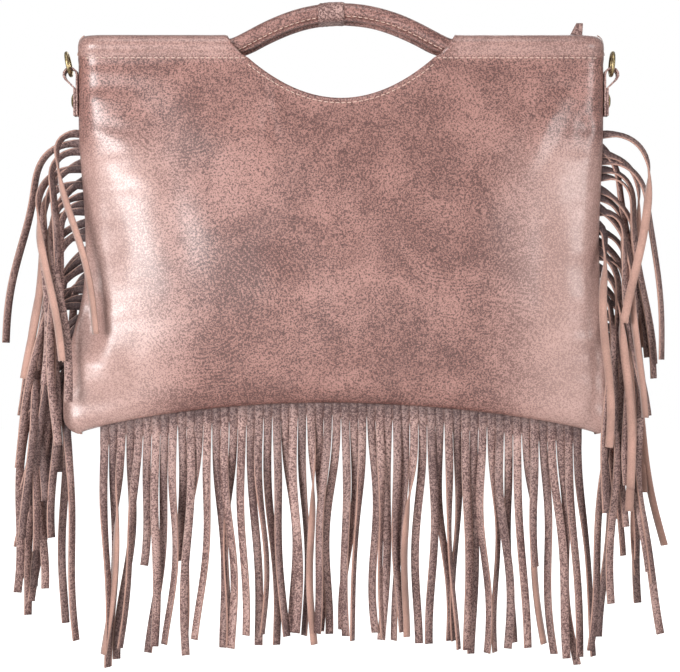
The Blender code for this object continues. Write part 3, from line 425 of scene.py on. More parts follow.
def woven(name, colour, threads_per_mm, roughness):
    """Zip tape, cotton lining and cord: threads cross over and under, each a small rounded rise."""
    tree, shader, at = new_look(name)
    # The wave texture makes 3.2 bands in a metre for each unit of its scale.
    scale = threads_per_mm * 1000 / 3.2
    warp = add(tree, WAVE, ("Vector", at), ("Scale", scale), ("Distortion", 0.4), bands_direction="X")
    weft = add(tree, WAVE, ("Vector", at), ("Scale", scale), ("Distortion", 0.4), bands_direction="Z")
    over = add(tree, MATH, (0, warp.outputs["Fac"]), (1, weft.outputs["Fac"]), operation="MULTIPLY")
    tint = add(tree, RAMP, ("Fac", over), stops=((0.05, darker(colour, 0.6)), (0.55, colour)))
    bump = add(tree, BUMP, ("Height", over), ("Strength", 0.4), ("Distance", 0.2 * MM))
    wire(tree, shader, ("Base Color", tint), ("Roughness", roughness), ("Normal", bump))


def deselect():
    """Go back to object mode with nothing selected."""
    if bpy.context.mode != "OBJECT":
        bpy.ops.object.mode_set(mode="OBJECT")
    bpy.ops.object.select_all(action="DESELECT")


def pick(piece):
    """Select one piece alone and make it active."""
    deselect()
    piece.select_set(True)
    bpy.context.view_layer.objects.active = piece


def from_mesh(name, bm, looks):
    """A bmesh as a linked object with its materials, smooth shaded."""
    mesh = bpy.data.meshes.new(name)
    bm.to_mesh(mesh)
    bm.free()
    for each in looks:
        mesh.materials.append(look(each))
    mesh.shade_smooth()
    made = bpy.data.objects.new(name, mesh)
    bpy.context.scene.collection.objects.link(made)
    return made


def apply(piece, kind, **settings):
    """Add one modifier and apply it at once."""
    pick(piece)
    step = piece.modifiers.new(kind.title(), kind)
    for key, value in settings.items():
        setattr(step, key, value)
    bpy.ops.object.modifier_apply(modifier=step.name)


def keep(piece, body, slot, *nodes):
    """Make a finished piece ride on its body and stand for its solids."""
    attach(piece, body)
    if nodes:
        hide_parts(*nodes)
    return piece


def soften(piece, width, angle=34):
    """Round the hard edges of a copied solid and shade it smooth."""
    limit = {"limit_method": "ANGLE", "angle_limit": math.radians(angle)}
    apply(piece, "BEVEL", width=width, segments=2, use_clamp_overlap=True, **limit)
    pick(piece)
    bpy.ops.object.shade_smooth_by_angle(angle=math.radians(45))


def join_columns(bm, columns):
    """Join neighbouring columns of points into faces, and leave an empty column open."""
    for a, b in zip(columns, columns[1:]):
        for j in range(min(len(a), len(b)) - 1):
            bm.faces.new((a[j], b[j], b[j + 1], a[j + 1]))


def join_rings(bm, rings, ends=True):
    """Join rings of points into a tube, with both ends filled unless they stay open."""
    for a, b in zip(rings, rings[1:]):
        for k in range(len(a)):
            n = (k + 1) % len(a)
            bm.faces.new((a[k], a[n], b[n], b[k]))
    if ends:
        bm.faces.new(rings[0])
        bm.faces.new(rings[-1])
    bmesh.ops.recalc_face_normals(bm, faces=bm.faces)


def copy_solid(node, name, looks):
    """A copy of a solid with its loose triangles joined, for finishing."""
    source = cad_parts[node]
    bm = bmesh.new()
    bm.from_mesh(source.data)
    bmesh.ops.remove_doubles(bm, verts=bm.verts, dist=0.002 * MM)
    bmesh.ops.join_triangles(bm, faces=bm.faces, angle_face_threshold=0.02, angle_shape_threshold=3.1)
    bmesh.ops.recalc_face_normals(bm, faces=bm.faces)
    return from_mesh(name, bm, looks)


def finish_solid(node, name, finish, body, slot, width, angle=34):
    """A copied solid with its edges rounded by width in mm, riding on its body."""
    piece = copy_solid(node, name, [finish])
    soften(piece, width * MM, angle)
    return keep(piece, body, slot, node)


def panel_columns():
    """Nominal x of each column of a panel's grid."""
    scoop = [SCOOP_HALF_WIDTH * k / 26 for k in range(-26, 27)]
    flat = [SCOOP_HALF_WIDTH + (ROUND_X - SCOOP_HALF_WIDTH) * k / 40 for k in range(1, 41)]
    turned = [ROUND_X + SIDE_ROUND * math.sin(math.radians(a)) for a in (15, 30, 45, 58, 70, 80, 90)]
    right = flat + turned
    return [-x for x in reversed(right)] + scoop + right


def hem_arc(x, steps):
    """Outer (depth, z) points of the hem at x, from the stitch line over the top to the flap's end."""
    share = side_round(x)
    half = GAP / 2 + (ROLL_RADIUS - GAP / 2) * share
    middle = SEAM_HALF + LEATHER + half
    front = SEAM_HALF + LEATHER + GAP + 1.75 * (half - GAP / 2) + LEATHER
    points = []
    lift = 0.35 * MM * noise.noise(Vector((x * 40, 1.0, 0)))
    first, last = math.radians(-42), math.radians(222)
    for k in range(steps + 1):
        a = first + (last - first) * k / steps
        depth = middle + (half + LEATHER + lift) * math.cos(a)
        points.append((depth, ROLL_Z + (ROLL_RADIUS + LEATHER + lift) * math.sin(a)))
    return [(front - 0.7 * MM, STITCH_Z)] + points


class BAG_OT_panels(bpy.types.Operator):
    """Build the front and back panels as soft leather over loose filling, with their rolled hems"""

    bl_idname = "bag.panels"
    bl_label = "Leather panels"

    def execute(self, context):
        columns = panel_columns()
        for name, side in FACES:
            bm = bmesh.new()
            grid, hems = [], []
            for x in columns:
                low, top = bottom_z(x), scoop_z(x)
                turned = (1 - math.sin(math.radians(a)) for a in (90, 74, 58, 42, 26, 12))
                rows = [low + BOTTOM_ROUND * share for share in turned]
                start = low + BOTTOM_ROUND
                rows += [start + (top - start) * k / 84 for k in range(85)]
                line = [bm.verts.new(skin_point(x, z, side)) for z in rows]
                grid.append(line)
                hemmed = abs(x) > SCOOP_HALF_WIDTH - MM
                strip = []
                if hemmed:
                    at_scoop = max(0.0, 1 - (abs(x) - SCOOP_HALF_WIDTH) / (ROUND_X - SCOOP_HALF_WIDTH))
                    points = hem_arc(x, HEM_STEPS)
                    line[-1].co.y = side * points[0][0]
                    for depth, z in points[1:]:
                        rise = max(0.0, z - STITCH_Z) / (ROLL_Z + ROLL_RADIUS - STITCH_Z)
                        px = x + math.copysign(15 * MM * at_scoop**2 * rise**0.6, x)
                        q = min(1.0, max(0.0, (z - TOP_Z + HEM_CORNER) / HEM_CORNER))
                        cut = HEM_CORNER * (1 - math.sqrt(1 - 0.88 * q * q))
                        px -= math.copysign(cut * smooth((abs(x) - 150 * MM) / (40 * MM)), x)
                        strip.append(bm.verts.new((px, side * depth, z)))
                hems.append([line[-1]] + strip if hemmed else [])
            join_columns(bm, grid)
            join_columns(bm, hems)
            if side > 0:
                bmesh.ops.reverse_faces(bm, faces=bm.faces)
            piece = from_mesh(f"{name}_leather_panel", bm, ["waxed_crackle_leather", "flesh_side_leather"])
            apply(piece, "SOLIDIFY", thickness=SKIN, offset=-1.0, material_offset=1, material_offset_rim=1)
            keep(piece, "bag", "distressed_leather", f"{name}_panel")
        return {"FINISHED"}


def handle_point(t):
    """Middle (x, z) of a handle at t from 0 at the left to 1 at the right, between the hems' ends."""
    u = 1 - abs(2 * t - 1)
    a, b, c = (1 - u) ** 3, 3 * u * (1 - u) ** 2, 3 * u * u * (1 - u)
    x = a * HANDLE_HALF_SPAN + b * (HANDLE_HALF_SPAN - SHOULDER) + c * HANDLE_CROWN
    z = ROLL_Z + (CROWN_Z - ROLL_Z) * (c + u**3)
    return (-x if t < 0.5 else x), z


def handle_path(steps):
    """Points and directions along a handle, with a straight run inside each hem."""
    points = [(-150 * MM, ROLL_Z), (-110 * MM, ROLL_Z)]
    points += [handle_point(k / steps) for k in range(steps + 1)]
    points += [(110 * MM, ROLL_Z), (150 * MM, ROLL_Z)]
    runs = []
    for k in range(len(points)):
        a, b = points[max(0, k - 1)], points[min(len(points) - 1, k + 1)]
        runs.append(Vector((b[0] - a[0], b[1] - a[1])).normalized())
    return points, runs


def beside(middle, run, side, depth, height):
    """A point beside a handle's middle line, at a depth from it and a height square to it."""
    x, z = middle
    return Vector((x - height * run[1], side * (HANDLE_Y + depth), z + height * run[0]))


def tube_section(free):
    """The leather tube with its two sewn layers underneath, as (depth, height) points."""
    points = []
    for k in range(23):
        a = math.radians(-78 + 336 * k / 22)
        points.append((TUBE * math.cos(a), 0.2 * MM + TUBE * math.sin(a)))
    foot = -TUBE - FLANGE * (0.25 + 0.35 * free)
    sole = (-1.0, 0.6), (-0.6, 0.0), (0.4, 0.0), (0.6, 0.9), (0.9, 0.0), (2.2, 0.0), (2.9, 1.1)
    for depth, height in sole:
        points.append((depth * MM, foot + height * MM))
    return points


class BAG_OT_handles(bpy.types.Operator):
    """Build both padded handles, each a leather tube sewn along its underside"""

    bl_idname = "bag.handles"
    bl_label = "Padded handles"

    def execute(self, context):
        points, runs = handle_path(HANDLE_STEPS)
        for name, side in FACES:
            bm = bmesh.new()
            rings = []
            for (x, z), run in zip(points, runs):
                free = smooth((z - ROLL_Z) / (0.25 * (CROWN_Z - ROLL_Z)))
                swell = 1 + 0.03 * noise.noise(Vector((x * 55, side, 0)))
                ring = []
                for p, q in tube_section(free):
                    ring.append(bm.verts.new(beside((x, z), run, side, p * swell, q * swell)))
                rings.append(ring)
            join_rings(bm, rings)
            piece = from_mesh(f"{name}_handle_leather", bm, ["waxed_crackle_leather"])
            keep(piece, "bag", "distressed_leather", f"{name}_handle_cover")
            # The cord filling, three plies twisted together.
            bm = bmesh.new()
            rings = []
            for n, (middle, run) in enumerate(zip(points, runs)):
                ring = []
                for k in range(24):
                    a = math.tau * k / 24
                    r = CORD - 0.3 * MM * (1 - math.cos(3 * (a - 0.35 * n)))
                    ring.append(bm.verts.new(beside(middle, run, side, r * math.cos(a), r * math.sin(a))))
                rings.append(ring)
            join_rings(bm, rings)
            cord = from_mesh(f"{name}_handle_cord", bm, ["twisted_cotton_cord"])
            keep(cord, "bag", "cotton_cord", f"{name}_handle_core")
        return {"FINISHED"}


class BAG_OT_keeper(bpy.types.Operator):
    """Build the plain leather band wrapped round both handles"""

    bl_idname = "bag.keeper"
    bl_label = "Handle keeper"

    def execute(self, context):
        bm = bmesh.new()
        rings = []
        outer = COVER_RADIUS + 0.6 * MM
        for k in range(13):
            x = KEEPER_X + KEEPER_HALF * (2 * k / 12 - 1)
            middle = min(handle_path(HANDLE_STEPS)[0], key=lambda p: abs(p[0] - x))[1]
            ease = 0.5 * MM if k in (0, 12) else 0.0
            ring = []
            for side, start in ((1, -90), (-1, 90)):
                for m in range(15):
                    a = math.radians(start + 180 * m / 14)
                    low = 1.0 * MM * smooth(-math.sin(a) * 1.4)
                    bulge = 0.25 * MM * noise.noise(Vector((x * 160, m * 0.7, side * 3.0)))
                    r = outer - ease + bulge
                    place = (x, side * HANDLE_Y + r * math.cos(a), middle + r * math.sin(a) - low)
                    ring.append(bm.verts.new(place))
            rings.append(ring)
        join_rings(bm, rings, ends=False)
        piece = from_mesh("handle_keeper_band", bm, ["dry_crackle_leather"])
        apply(piece, "SOLIDIFY", thickness=0.8 * MM, offset=-1.0)
        keep(piece, "bag", "distressed_leather", "handle_keeper")
        return {"FINISHED"}


def strip_route(start, out, heading, hang, stiff, length, sway, phase, lane):
    """A strip's middle line: it leaves at one heading, bends under its weight, and hangs at another."""
    steps = 45
    step = length / steps
    points = [start.copy()]
    x, z = start.x, start.z
    for j in range(1, steps + 1):
        run = j * step
        bent = smooth(run / stiff)
        a = heading + (hang - heading) * bent + sway * math.sin(run * 40 + phase) * bent
        x += out * math.cos(a) * step
        z += math.sin(a) * step
        deep = lane * smooth(run / (stiff + 25 * MM)) + 0.9 * MM * math.sin(run * 36 + 2 * phase) * bent
        points.append(Vector((x, start.y + deep, z)))
    return points


def add_strip(bm, route, turn, half_width, shade):
    """A ribbon of three points across, with its direction, half width and darkness (its own tone and painted
    shade) as functions along it.
    """
    rows = []
    dark = bm.verts.layers.float.get("tone_and_painted_shade") or bm.verts.layers.float.new("tone_and_painted_shade")
    for k, point in enumerate(route):
        before, after = route[max(0, k - 1)], route[min(len(route) - 1, k + 1)]
        tangent = (after - before).normalized()
        reference, angle = turn(k / (len(route) - 1))
        across = (reference - tangent * reference.dot(tangent)).normalized()
        width = Matrix.Rotation(angle, 3, tangent) @ across
        face = tangent.cross(width)
        row = []
        for s in (-1, 0, 1):
            curl = 0.35 * MM * (abs(s) - 0.5)
            made = bm.verts.new(point + width * (half_width(k / (len(route) - 1)) * s) + face * curl)
            made[dark] = shade(k / (len(route) - 1))
            row.append(made)
        rows.append(row)
    for a, b in zip(rows, rows[1:]):
        for m in range(2):
            bm.faces.new((b[m], b[m + 1], a[m + 1], a[m]))


def finish_fringe(bm, name, sizes):
    """Strips given their thickness and bare backs, hung as one cut sheet."""
    piece = from_mesh(f"{name}_fringe_strips", bm, ["dry_crackle_leather", "flesh_side_leather"])
    bare = {"material_offset": 1, "material_offset_rim": 1}
    apply(piece, "SOLIDIFY", thickness=sizes.strip_leather, offset=0.0, **bare)
    keep(piece, "bag", "fringe_suede", f"{name}_fringe")


class BAG_OT_bottom_fringe(bpy.types.Operator):
    """Hang the bottom fringe: a band in the seam cut into strips that sway, twist and cross"""

    bl_idname = "bag.bottom_fringe"
    bl_label = "Bottom fringe"

    def execute(self, context):
        sizes = context.scene.bag_sizes
        reach = HALF_WIDTH - 13 * MM
        count = int(2 * reach / sizes.strip_pitch)
        first = -count * sizes.strip_pitch / 2
        down = -math.pi / 2
        bm = bmesh.new()
        for k in range(count):
            x = first + sizes.strip_pitch * (k + 0.5)
            seed = sizes.seed
            back = k % 2
            lane = (4.5 if back else -4.5) * MM * (0.4 + 1.0 * chance(k, seed, 1))
            lean = math.radians(8.0 * (chance(k, seed, 2) - 0.5) + 3.2 * x / HALF_WIDTH)
            sway = math.radians(2.0 + 5.0 * chance(k, seed, 3))
            length = (172 + 12 * (chance(k, seed, 4) - 0.5)) * MM
            if k in SHORT_STRIPS:
                length *= 0.62
            twist = (chance(k, seed, 5) - 0.5) * 2.3
            if chance(k, seed, 6) > 0.87:
                twist = math.copysign(2.4, twist)
            root = (13 + 7 * chance(k, seed, 7)) * MM
            start = Vector((x, 0, bottom_z(x) + 5 * MM))
            phase = 6 * chance(k, seed, 8)
            route = strip_route(start, 1, down, down + lean, 70 * MM, length + 5 * MM, sway, phase, lane)

            def turn(t, twist=twist, length=length, root=root):
                return Vector((1, 0, 0)), twist * smooth((t * length - root) / (80 * MM))

            def wide(t, length=length, root=root):
                # Above its slit a strip is still one piece with its neighbours.
                slit = 0.5 * MM * smooth((t * length - root + 3 * MM) / (6 * MM))
                return (sizes.strip_pitch + 0.1 * MM - slit) / 2

            # The back row and the root under the seam are darkened with painted shade; the rest of each
            # strip's tone differs at random.
            tint = 0.12 * back + 0.36 * chance(k, seed, 9) ** 2
            add_strip(bm, route, turn, wide, lambda t: tint + (0.7 - tint) * smooth(1 - t / 0.11))
        finish_fringe(bm, "bottom", sizes)
        return {"FINISHED"}


# Strips that fall in a marked way in the photograph: number from below, heading, bend length in mm,
# lean inwards, how far forward in mm, and whether the bare side shows.
MARKED_STRIPS = {
    "left": {
        33: (18, 34, -12, 26, True),
        31: (10, 44, -6, 22, False),
        29: (6, 58, -8, 30, True),
        26: (-4, 46, -5, 24, False),
        3: (-62, 18, 0, -8, False),
        0: (-72, 16, -3, 8, False),
    },
    "right": {
        33: (8, 62, -9, 24, True),
        30: (2, 60, 4, 12, False),
        23: (-30, 20, 0, 26, True),
        15: (-25, 24, -2, 24, False),
        4: (-58, 20, -1, 14, False),
        2: (-66, 18, -3, -6, False),
        0: (-74, 16, -5, 8, False),
    },
}


class BAG_OT_side_fringes(bpy.types.Operator):
    """Hang the side fringes: strips that leave the seam sideways, turn on edge, bend over and fall"""

    bl_idname = "bag.side_fringes"
    bl_label = "Side fringes"

    def execute(self, context):
        sizes = context.scene.bag_sizes
        high, low = TOP_Z - 68 * MM, CORNER_Z + 8 * MM
        count = int((high - low) / sizes.strip_pitch)
        for name, side in SIDES:
            bm = bmesh.new()
            for k in range(count):
                seed = sizes.seed + (11 if side > 0 else 29)
                z = low + sizes.strip_pitch * (k + 0.5)
                share = k / (count - 1)
                heading = -40 + 54 * chance(k, seed, 1)
                stiff = 20 + 26 * chance(k, seed, 2) + 20 * share
                lean = -2 + 13 * chance(k, seed, 3)
                forward = (chance(k, seed, 4) - 0.5) * 42
                bare = chance(k, seed, 5) > 0.80
                if k in MARKED_STRIPS[name]:
                    heading, stiff, lean, forward, bare = MARKED_STRIPS[name][k]
                length = (163 + 14 * (chance(k, seed, 6) - 0.5)) * MM
                start = Vector((side * (side_x(z, side) - 4 * MM), 0, z))
                route = strip_route(
                    start, side, math.radians(heading), math.radians(lean - 90), stiff * MM, length + 4 * MM,
                    math.radians(3 + 4 * chance(k, seed, 7)), 6 * chance(k, seed, 8), -forward * MM,
                )
                edge = math.radians(14 + 30 * chance(k, seed, 9) + 26 * (1 - share))
                rest = math.radians(35 + 50 * chance(k, seed, 10)) * (-1 if bare else 1)

                def turn(t, edge=edge, rest=rest, length=length, stiff=stiff):
                    run = t * length
                    angle = math.pi / 2 + (edge - math.pi / 2) * smooth(run / (15 * MM))
                    angle += (rest - edge) * smooth((run - 0.6 * stiff * MM) / (45 * MM))
                    return Vector((0, 1, 0)), angle

                # Painted shade darkens each root beside the seam, less on the top strips; each strip's own
                # tone differs at random.
                depth = 0.85 if share < 0.9 else 0.6
                tint = 0.10 + 0.45 * chance(k, seed, 11) ** 2
                half = (sizes.strip_pitch - 0.4 * MM) / 2

                def shade(t, tint=tint, depth=depth):
                    return tint + (depth - tint) * smooth(1 - t / 0.24)

                add_strip(bm, route, turn, lambda t: half, shade)
            finish_fringe(bm, name, sizes)
        return {"FINISHED"}


def stamp(bm, mesh, place):
    """Add a copy of a mesh, moved by a matrix."""
    start = len(bm.verts)
    bm.from_mesh(mesh)
    bm.verts.ensure_lookup_table()
    bmesh.ops.transform(bm, matrix=place, verts=bm.verts[start:])


def stitch_template(context):
    """One stitch modelled: a short thread whose ends dive into the leather."""
    sizes = context.scene.bag_sizes
    deselect()
    length = sizes.stitch_pitch * 0.74
    across = (0, math.pi / 2, 0)
    bpy.ops.mesh.primitive_cylinder_add(vertices=6, radius=sizes.thread / 2, depth=length, rotation=across)
    made = context.active_object
    bpy.ops.object.transform_apply(location=False, rotation=True, scale=False)
    bpy.ops.object.mode_set(mode="EDIT")
    bpy.ops.mesh.select_all(action="SELECT")
    bpy.ops.mesh.bisect(plane_co=(length * 0.28, 0, 0), plane_no=(1, 0, 0))
    bpy.ops.mesh.select_all(action="SELECT")
    bpy.ops.mesh.bisect(plane_co=(-length * 0.28, 0, 0), plane_no=(1, 0, 0))
    bpy.ops.object.mode_set(mode="OBJECT")
    for v in made.data.vertices:
        if abs(v.co.x) > length * 0.4:
            v.co.y *= 0.6
            v.co.z = v.co.z * 0.6 - sizes.thread * 0.45
    return made


def sew(context, name, lines, body, on):
    """Copy the stitch along lines of (point, outward) pairs, a pitch apart, into one piece."""
    sizes = context.scene.bag_sizes
    template = stitch_template(context)
    bm = bmesh.new()
    for line in lines:
        travelled, wanted = 0.0, sizes.stitch_pitch / 2
        for (a, out), (b, _) in zip(line, line[1:]):
            step = (b - a).length
            while travelled + step > wanted:
                at = a + (b - a) * ((wanted - travelled) / step)
                along = (b - a).normalized()
                up = (out - along * out.dot(along)).normalized()
                side = up.cross(along)
                turn = Matrix((along, side, up)).transposed().to_4x4()
                jitter = 0.12 * (chance(at.x * 900, at.z * 900) - 0.5)
                place = Matrix.Translation(at) @ turn @ Matrix.Rotation(jitter, 4, "Z")
                stamp(bm, template.data, place)
                wanted += sizes.stitch_pitch
            travelled += step
    bpy.data.objects.remove(template, do_unlink=True)
    piece = from_mesh(name, bm, ["waxed_polyester_thread"])
    keep(piece, body, on)
    return piece


class BAG_OT_stitching(bpy.types.Operator):
    """Sew the hems, the scoop's edge and the handles with pale thread"""

    bl_idname = "bag.stitching"
    bl_label = "Stitching"

    def execute(self, context):
        for name, side in FACES:
            lines = []
            for sign in (-1, 1):
                line = []
                for k in range(60):
                    x = sign * (SCOOP_HALF_WIDTH + 2 * MM + (187 - 69) * MM * k / 59)
                    depth = hem_arc(x, HEM_STEPS)[0][0]
                    line.append((Vector((x, side * (depth + PROUD), STITCH_Z)), Vector((0, side, 0))))
                lines.append(line)
            line = []
            for k in range(81):
                x = (SCOOP_HALF_WIDTH - 1.5 * MM) * (2 * k / 80 - 1)
                slope = 2 * SCOOP_DEPTH * x / SCOOP_HALF_WIDTH**2
                off = 3.6 * MM / math.sqrt(1 + slope * slope)
                nx, z = x + slope * off, scoop_z(x) - off
                line.append((skin_point(nx, z, side, PROUD), Vector((0, side, 0))))
            lines.append(line)
            sew(context, f"{name}_panel_stitches", lines, "bag", "distressed_leather")
            points, runs = handle_path(HANDLE_STEPS)
            line = []
            for (x, z), run in zip(points[3:-3], runs[3:-3]):
                if abs(x - KEEPER_X) < KEEPER_HALF:
                    continue
                # The seam runs low on the outer side of the tube.
                turn = math.radians(-46)
                deep, down = (TUBE + PROUD) * math.cos(turn), -(TUBE + PROUD) * math.sin(turn)
                out = Vector((0.7 * run[1], side * 0.7, -0.7 * run[0]))
                line.append((beside((x, z), run, side, deep, -down), out))
            gap = next(k for k in range(1, len(line)) if (line[k][0] - line[k - 1][0]).length > 10 * MM)
            sew(context, f"{name}_handle_stitches", [line[:gap], line[gap:]], "bag", "distressed_leather")
        return {"FINISHED"}


class BAG_OT_ring_tabs(bpy.types.Operator):
    """Finish the ring tabs, their rivets and burrs, and the two rings"""

    bl_idname = "bag.ring_tabs"
    bl_label = "Ring tabs and rings"

    def execute(self, context):
        for name, side in SIDES:
            for part, made, finish, slot, width, angle in (
                ("ring_tab", "tab_leather", "dry_crackle_leather", "distressed_leather", 0.35, 34),
                ("rivet", "rivet_head", "aged_cast_brass", "antique_brass", 0.3, 25),
                ("rivet_burr", "rivet_washer", "aged_cast_brass", "antique_brass", 0.2, 34),
            ):
                finish_solid(f"{name}_{part}", f"{name}_{made}", finish, "bag", slot, width, angle)
            lean = math.radians(11.0 if side < 0 else 4.0) * side
            deselect()
            bpy.ops.mesh.primitive_torus_add(
                major_segments=64, minor_segments=18, rotation=(0, math.pi / 2, 0),
                major_radius=RING_RADIUS, minor_radius=RING_WIRE,
            )
            ring = context.active_object
            ring.name = f"{name}_brass_ring"
            bpy.ops.object.transform_apply(location=False, rotation=True, scale=False)
            for v in ring.data.vertices:
                v.co = Matrix.Rotation(lean, 3, "Y") @ (v.co + Vector((0, 0, RING_RADIUS)))
                v.co += Vector((side * RING_X, 0, RING_Z))
            ring.data.materials.append(look("aged_cast_brass"))
            ring.data.shade_smooth()
            keep(ring, f"{name}_ring", "antique_brass", f"{name}_ring")
        return {"FINISHED"}


class BAG_OT_zip(bpy.types.Operator):
    """Finish the zip: cloth tapes, single teeth, stops, slider, pull, tail and leather end tab"""

    bl_idname = "bag.zip"
    bl_label = "Zip"

    def execute(self, context):
        sizes = context.scene.bag_sizes
        for name, side in FACES:
            for part, made, finish, slot, width in (
                ("zip_gusset", "gusset_leather", "dry_crackle_leather", "distressed_leather", 0.25),
                ("zip_tape", "woven_tape", "woven_zip_tape", "zip_tape_cloth", 0.15),
                ("zip_top_stop", "top_stop", "aged_cast_brass", "antique_brass", 0.3),
            ):
                finish_solid(f"{name}_{part}", f"{name}_{made}", finish, "bag", slot, width)
            low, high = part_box(f"{name}_zip_teeth")
            deselect()
            bpy.ops.mesh.primitive_cube_add(size=1)
            tooth = context.active_object
            tooth.scale = (0.48 * sizes.tooth_pitch, high.y - low.y, high.z - low.z)
            bpy.ops.object.transform_apply(location=False, rotation=False, scale=True)
            apply(tooth, "BEVEL", width=0.22 * MM, segments=2)
            bm = bmesh.new()
            shift = 0.5 if side > 0 else 0.0
            count = int((high.x - low.x) / sizes.tooth_pitch)
            for k in range(count):
                x = low.x + sizes.tooth_pitch * (k + 0.25 + shift)
                place = Matrix.Translation((x, (low.y + high.y) / 2, (low.z + high.z) / 2))
                stamp(bm, tooth.data, place)
            bpy.data.objects.remove(tooth, do_unlink=True)
            teeth = from_mesh(f"{name}_teeth", bm, ["aged_cast_brass"])
            keep(teeth, "bag", "antique_brass", f"{name}_zip_teeth")
        for node, made, body, finish, slot, width in (
            ("zip_bottom_stop", "bottom_stop", "bag", "aged_cast_brass", "antique_brass", 0.3),
            ("zip_slider", "slider_body", "zip_slider", "aged_cast_brass", "antique_brass", 0.25),
            ("zip_pull", "slider_pull", "zip_pull", "aged_cast_brass", "antique_brass", 0.3),
            ("zip_tail", "zip_tail_tape", "bag", "woven_zip_tape", "zip_tape_cloth", 0.2),
            ("zip_end_tab", "end_tab_leather", "bag", "dry_crackle_leather", "distressed_leather", 0.3),
        ):
            piece = finish_solid(node, made, finish, body, slot, width)
            if node in ("zip_tail", "zip_end_tab"):
                # Above the edge the soft end has narrowed, and leans to the right.
                low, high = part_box("zip_end_tab")
                pick(piece)
                bpy.ops.object.mode_set(mode="EDIT")
                bpy.ops.mesh.select_all(action="SELECT")
                bpy.ops.mesh.subdivide(number_cuts=2)
                bpy.ops.object.mode_set(mode="OBJECT")
                middle = (low.x + high.x) / 2
                for v in piece.data.vertices:
                    t = max(0.0, (v.co.z - TOP_Z) / (high.z - TOP_Z))
                    v.co.x = middle + (v.co.x - middle) * (1 - 0.5 * t) + 3.2 * MM * t
                    v.co.y += 1.2 * MM * t * t
        return {"FINISHED"}


class BAG_OT_lining(bpy.types.Operator):
    """Finish the cloth lining that hangs inside the bag"""

    bl_idname = "bag.lining"
    bl_label = "Lining"

    def execute(self, context):
        piece = copy_solid("lining", "lining_cloth_bag", ["woven_cotton_lining"])
        keep(piece, "bag", "lining_cloth", "lining")
        return {"FINISHED"}


class BAG_OT_finishes(bpy.types.Operator):
    """Make the materials: leather, bare leather, thread, brass and woven cloth"""

    bl_idname = "bag.finishes"
    bl_label = "Finishes"

    def execute(self, context):
        colours = context.scene.bag_colours
        crackled_leather(
            "waxed_crackle_leather", pale=tuple(colours.grain), middle=linear("83584F"),
            dark=tuple(colours.grain_dark), rubbed_and_sheen_pale=linear("B69890"), roughness=0.46, wax=0.85,
        )
        crackled_leather(
            "dry_crackle_leather", pale=linear("AF8F87"), middle=linear("92746D"), dark=linear("543A38"),
            rubbed_and_sheen_pale=linear("AC8F88"), roughness=0.58, wax=0.0,
        )
        flesh_leather(colours)
        sewing_thread(colours)
        aged_brass(colours)
        woven("woven_zip_tape", linear("4A3A36"), threads_per_mm=1.1, roughness=0.85)
        woven("woven_cotton_lining", linear("3A302D"), threads_per_mm=1.4, roughness=0.9)
        woven("twisted_cotton_cord", linear("CFC4B4"), threads_per_mm=0.6, roughness=0.9)
        return {"FINISHED"}


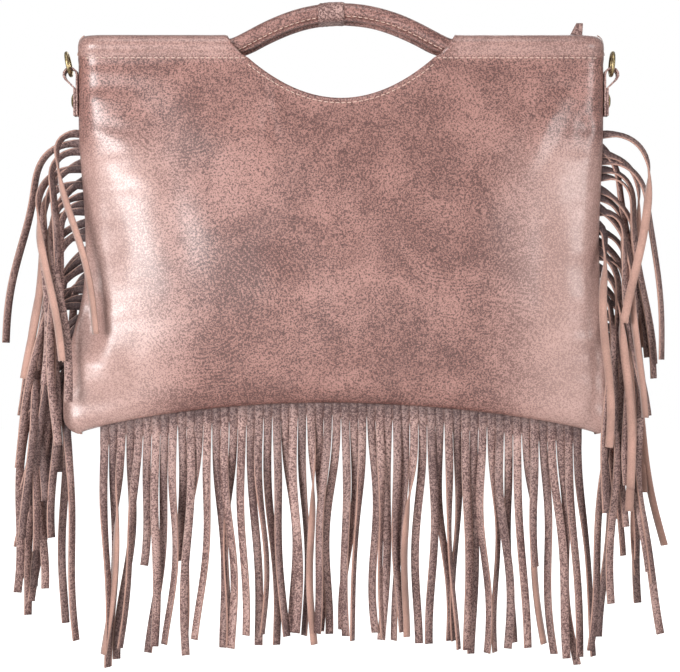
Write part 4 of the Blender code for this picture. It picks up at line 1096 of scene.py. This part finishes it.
class BAG_OT_stage(bpy.types.Operator):
    """Set the pale floor, the white backdrop, the soft lamps and the camera"""

    bl_idname = "bag.stage"
    bl_label = "Studio"

    def execute(self, context):
        scene = context.scene
        deselect()
        bpy.ops.mesh.primitive_plane_add(size=8, location=(0, 0, CAD_BOX[0].z - FLOOR_DROP))
        floor = context.active_object
        floor.name = "studio_floor"
        tree, shader, _ = new_look("pale_studio_paper")
        wire(tree, shader, ("Base Color", linear("F8F7F6")), ("Roughness", 0.95), ("Specular IOR Level", 0.0))
        seen = add(tree, LIGHT_PATH)
        glow = add(tree, MATH, (0, seen.outputs["Is Camera Ray"]), (1, 0.7), operation="MULTIPLY")
        lift = add(tree, "ShaderNodeEmission", ("Color", WHITE), ("Strength", glow))
        both = add(tree, "ShaderNodeAddShader", (0, shader), (1, lift))
        tree.links.new(both.outputs[0], tree.nodes["Material Output"].inputs["Surface"])
        floor.data.materials.append(look("pale_studio_paper"))
        world = bpy.data.worlds.new("studio")
        scene.world = world
        world.use_nodes = True
        tree = world.node_tree
        plain = tree.nodes["Background"]
        wire(tree, plain, ("Color", WHITE), ("Strength", 0.4))
        white = add(tree, "ShaderNodeBackground", ("Color", WHITE), ("Strength", 1.0))
        path = add(tree, LIGHT_PATH)
        ends = (1, plain), (2, white)
        mix = add(tree, "ShaderNodeMixShader", (0, path.outputs["Is Camera Ray"]), *ends)
        tree.links.new(mix.outputs[0], tree.nodes["World Output"].inputs["Surface"])
        for name, place, size, power in (
            ("left_lamp", (-0.90, -1.30, -0.12), 0.64, 26.0),
            ("right_lamp", (1.05, -1.20, 0.0), 0.6, 9.0),
            ("top_lamp", (-0.1, -0.75, 1.25), 0.8, 6.5),
            ("back_lamp", (0.4, 1.5, 0.6), 1.0, 8.0),
        ):
            data = bpy.data.lights.new(name, "AREA")
            data.size = size
            data.energy = power
            lamp = bpy.data.objects.new(name, data)
            lamp.location = place
            lamp.rotation_euler = (Vector((0, 0, -0.2)) - Vector(place)).to_track_quat("-Z", "Y").to_euler()
            scene.collection.objects.link(lamp)
        camera = bpy.data.objects.new("studio_camera", bpy.data.cameras.new("studio_camera"))
        camera.location = (-0.7 * MM, -CAMERA_DISTANCE - 15 * MM, -228 * MM)
        camera.rotation_euler = (math.pi / 2, 0, 0)
        camera.data.sensor_width = SENSOR
        camera.data.lens = SENSOR * CAMERA_DISTANCE / WIDTH_SEEN
        camera.data.clip_start, camera.data.clip_end = 0.05, 50
        scene.collection.objects.link(camera)
        scene.camera = camera
        scene.view_settings.view_transform = "Standard"
        return {"FINISHED"}


STEPS = (
    BAG_OT_finishes, BAG_OT_panels, BAG_OT_handles, BAG_OT_keeper, BAG_OT_bottom_fringe, BAG_OT_side_fringes,
    BAG_OT_stitching, BAG_OT_ring_tabs, BAG_OT_zip, BAG_OT_lining, BAG_OT_stage,
)


class BAG_PT_panel(bpy.types.Panel):
    """Lists the sizes, the colours and the steps in the sidebar"""

    bl_idname = "BAG_PT_panel"
    bl_label = "Fringed bag"
    bl_space_type = "VIEW_3D"
    bl_region_type = "UI"
    bl_category = "Bag"

    def draw(self, context):
        for name in BagSizes.__annotations__:
            self.layout.prop(context.scene.bag_sizes, name)
        for name in BagColours.__annotations__:
            self.layout.prop(context.scene.bag_colours, name)
        for step in STEPS:
            self.layout.operator(step.bl_idname)


CLASSES = (BagSizes, BagColours, *STEPS, BAG_PT_panel)


def register():
    for each in CLASSES:
        bpy.utils.register_class(each)
    bpy.types.Scene.bag_sizes = PointerProperty(type=BagSizes)
    bpy.types.Scene.bag_colours = PointerProperty(type=BagColours)


def unregister():
    del bpy.types.Scene.bag_colours
    del bpy.types.Scene.bag_sizes
    for each in reversed(CLASSES):
        bpy.utils.unregister_class(each)


def main():
    register()
    bpy.ops.bag.finishes()
    bpy.ops.bag.panels()
    bpy.ops.bag.handles()
    bpy.ops.bag.keeper()
    bpy.ops.bag.bottom_fringe()
    bpy.ops.bag.side_fringes()
    bpy.ops.bag.stitching()
    bpy.ops.bag.ring_tabs()
    bpy.ops.bag.zip()
    bpy.ops.bag.lining()
    bpy.ops.bag.stage()


if __name__ == "__main__":
    main()
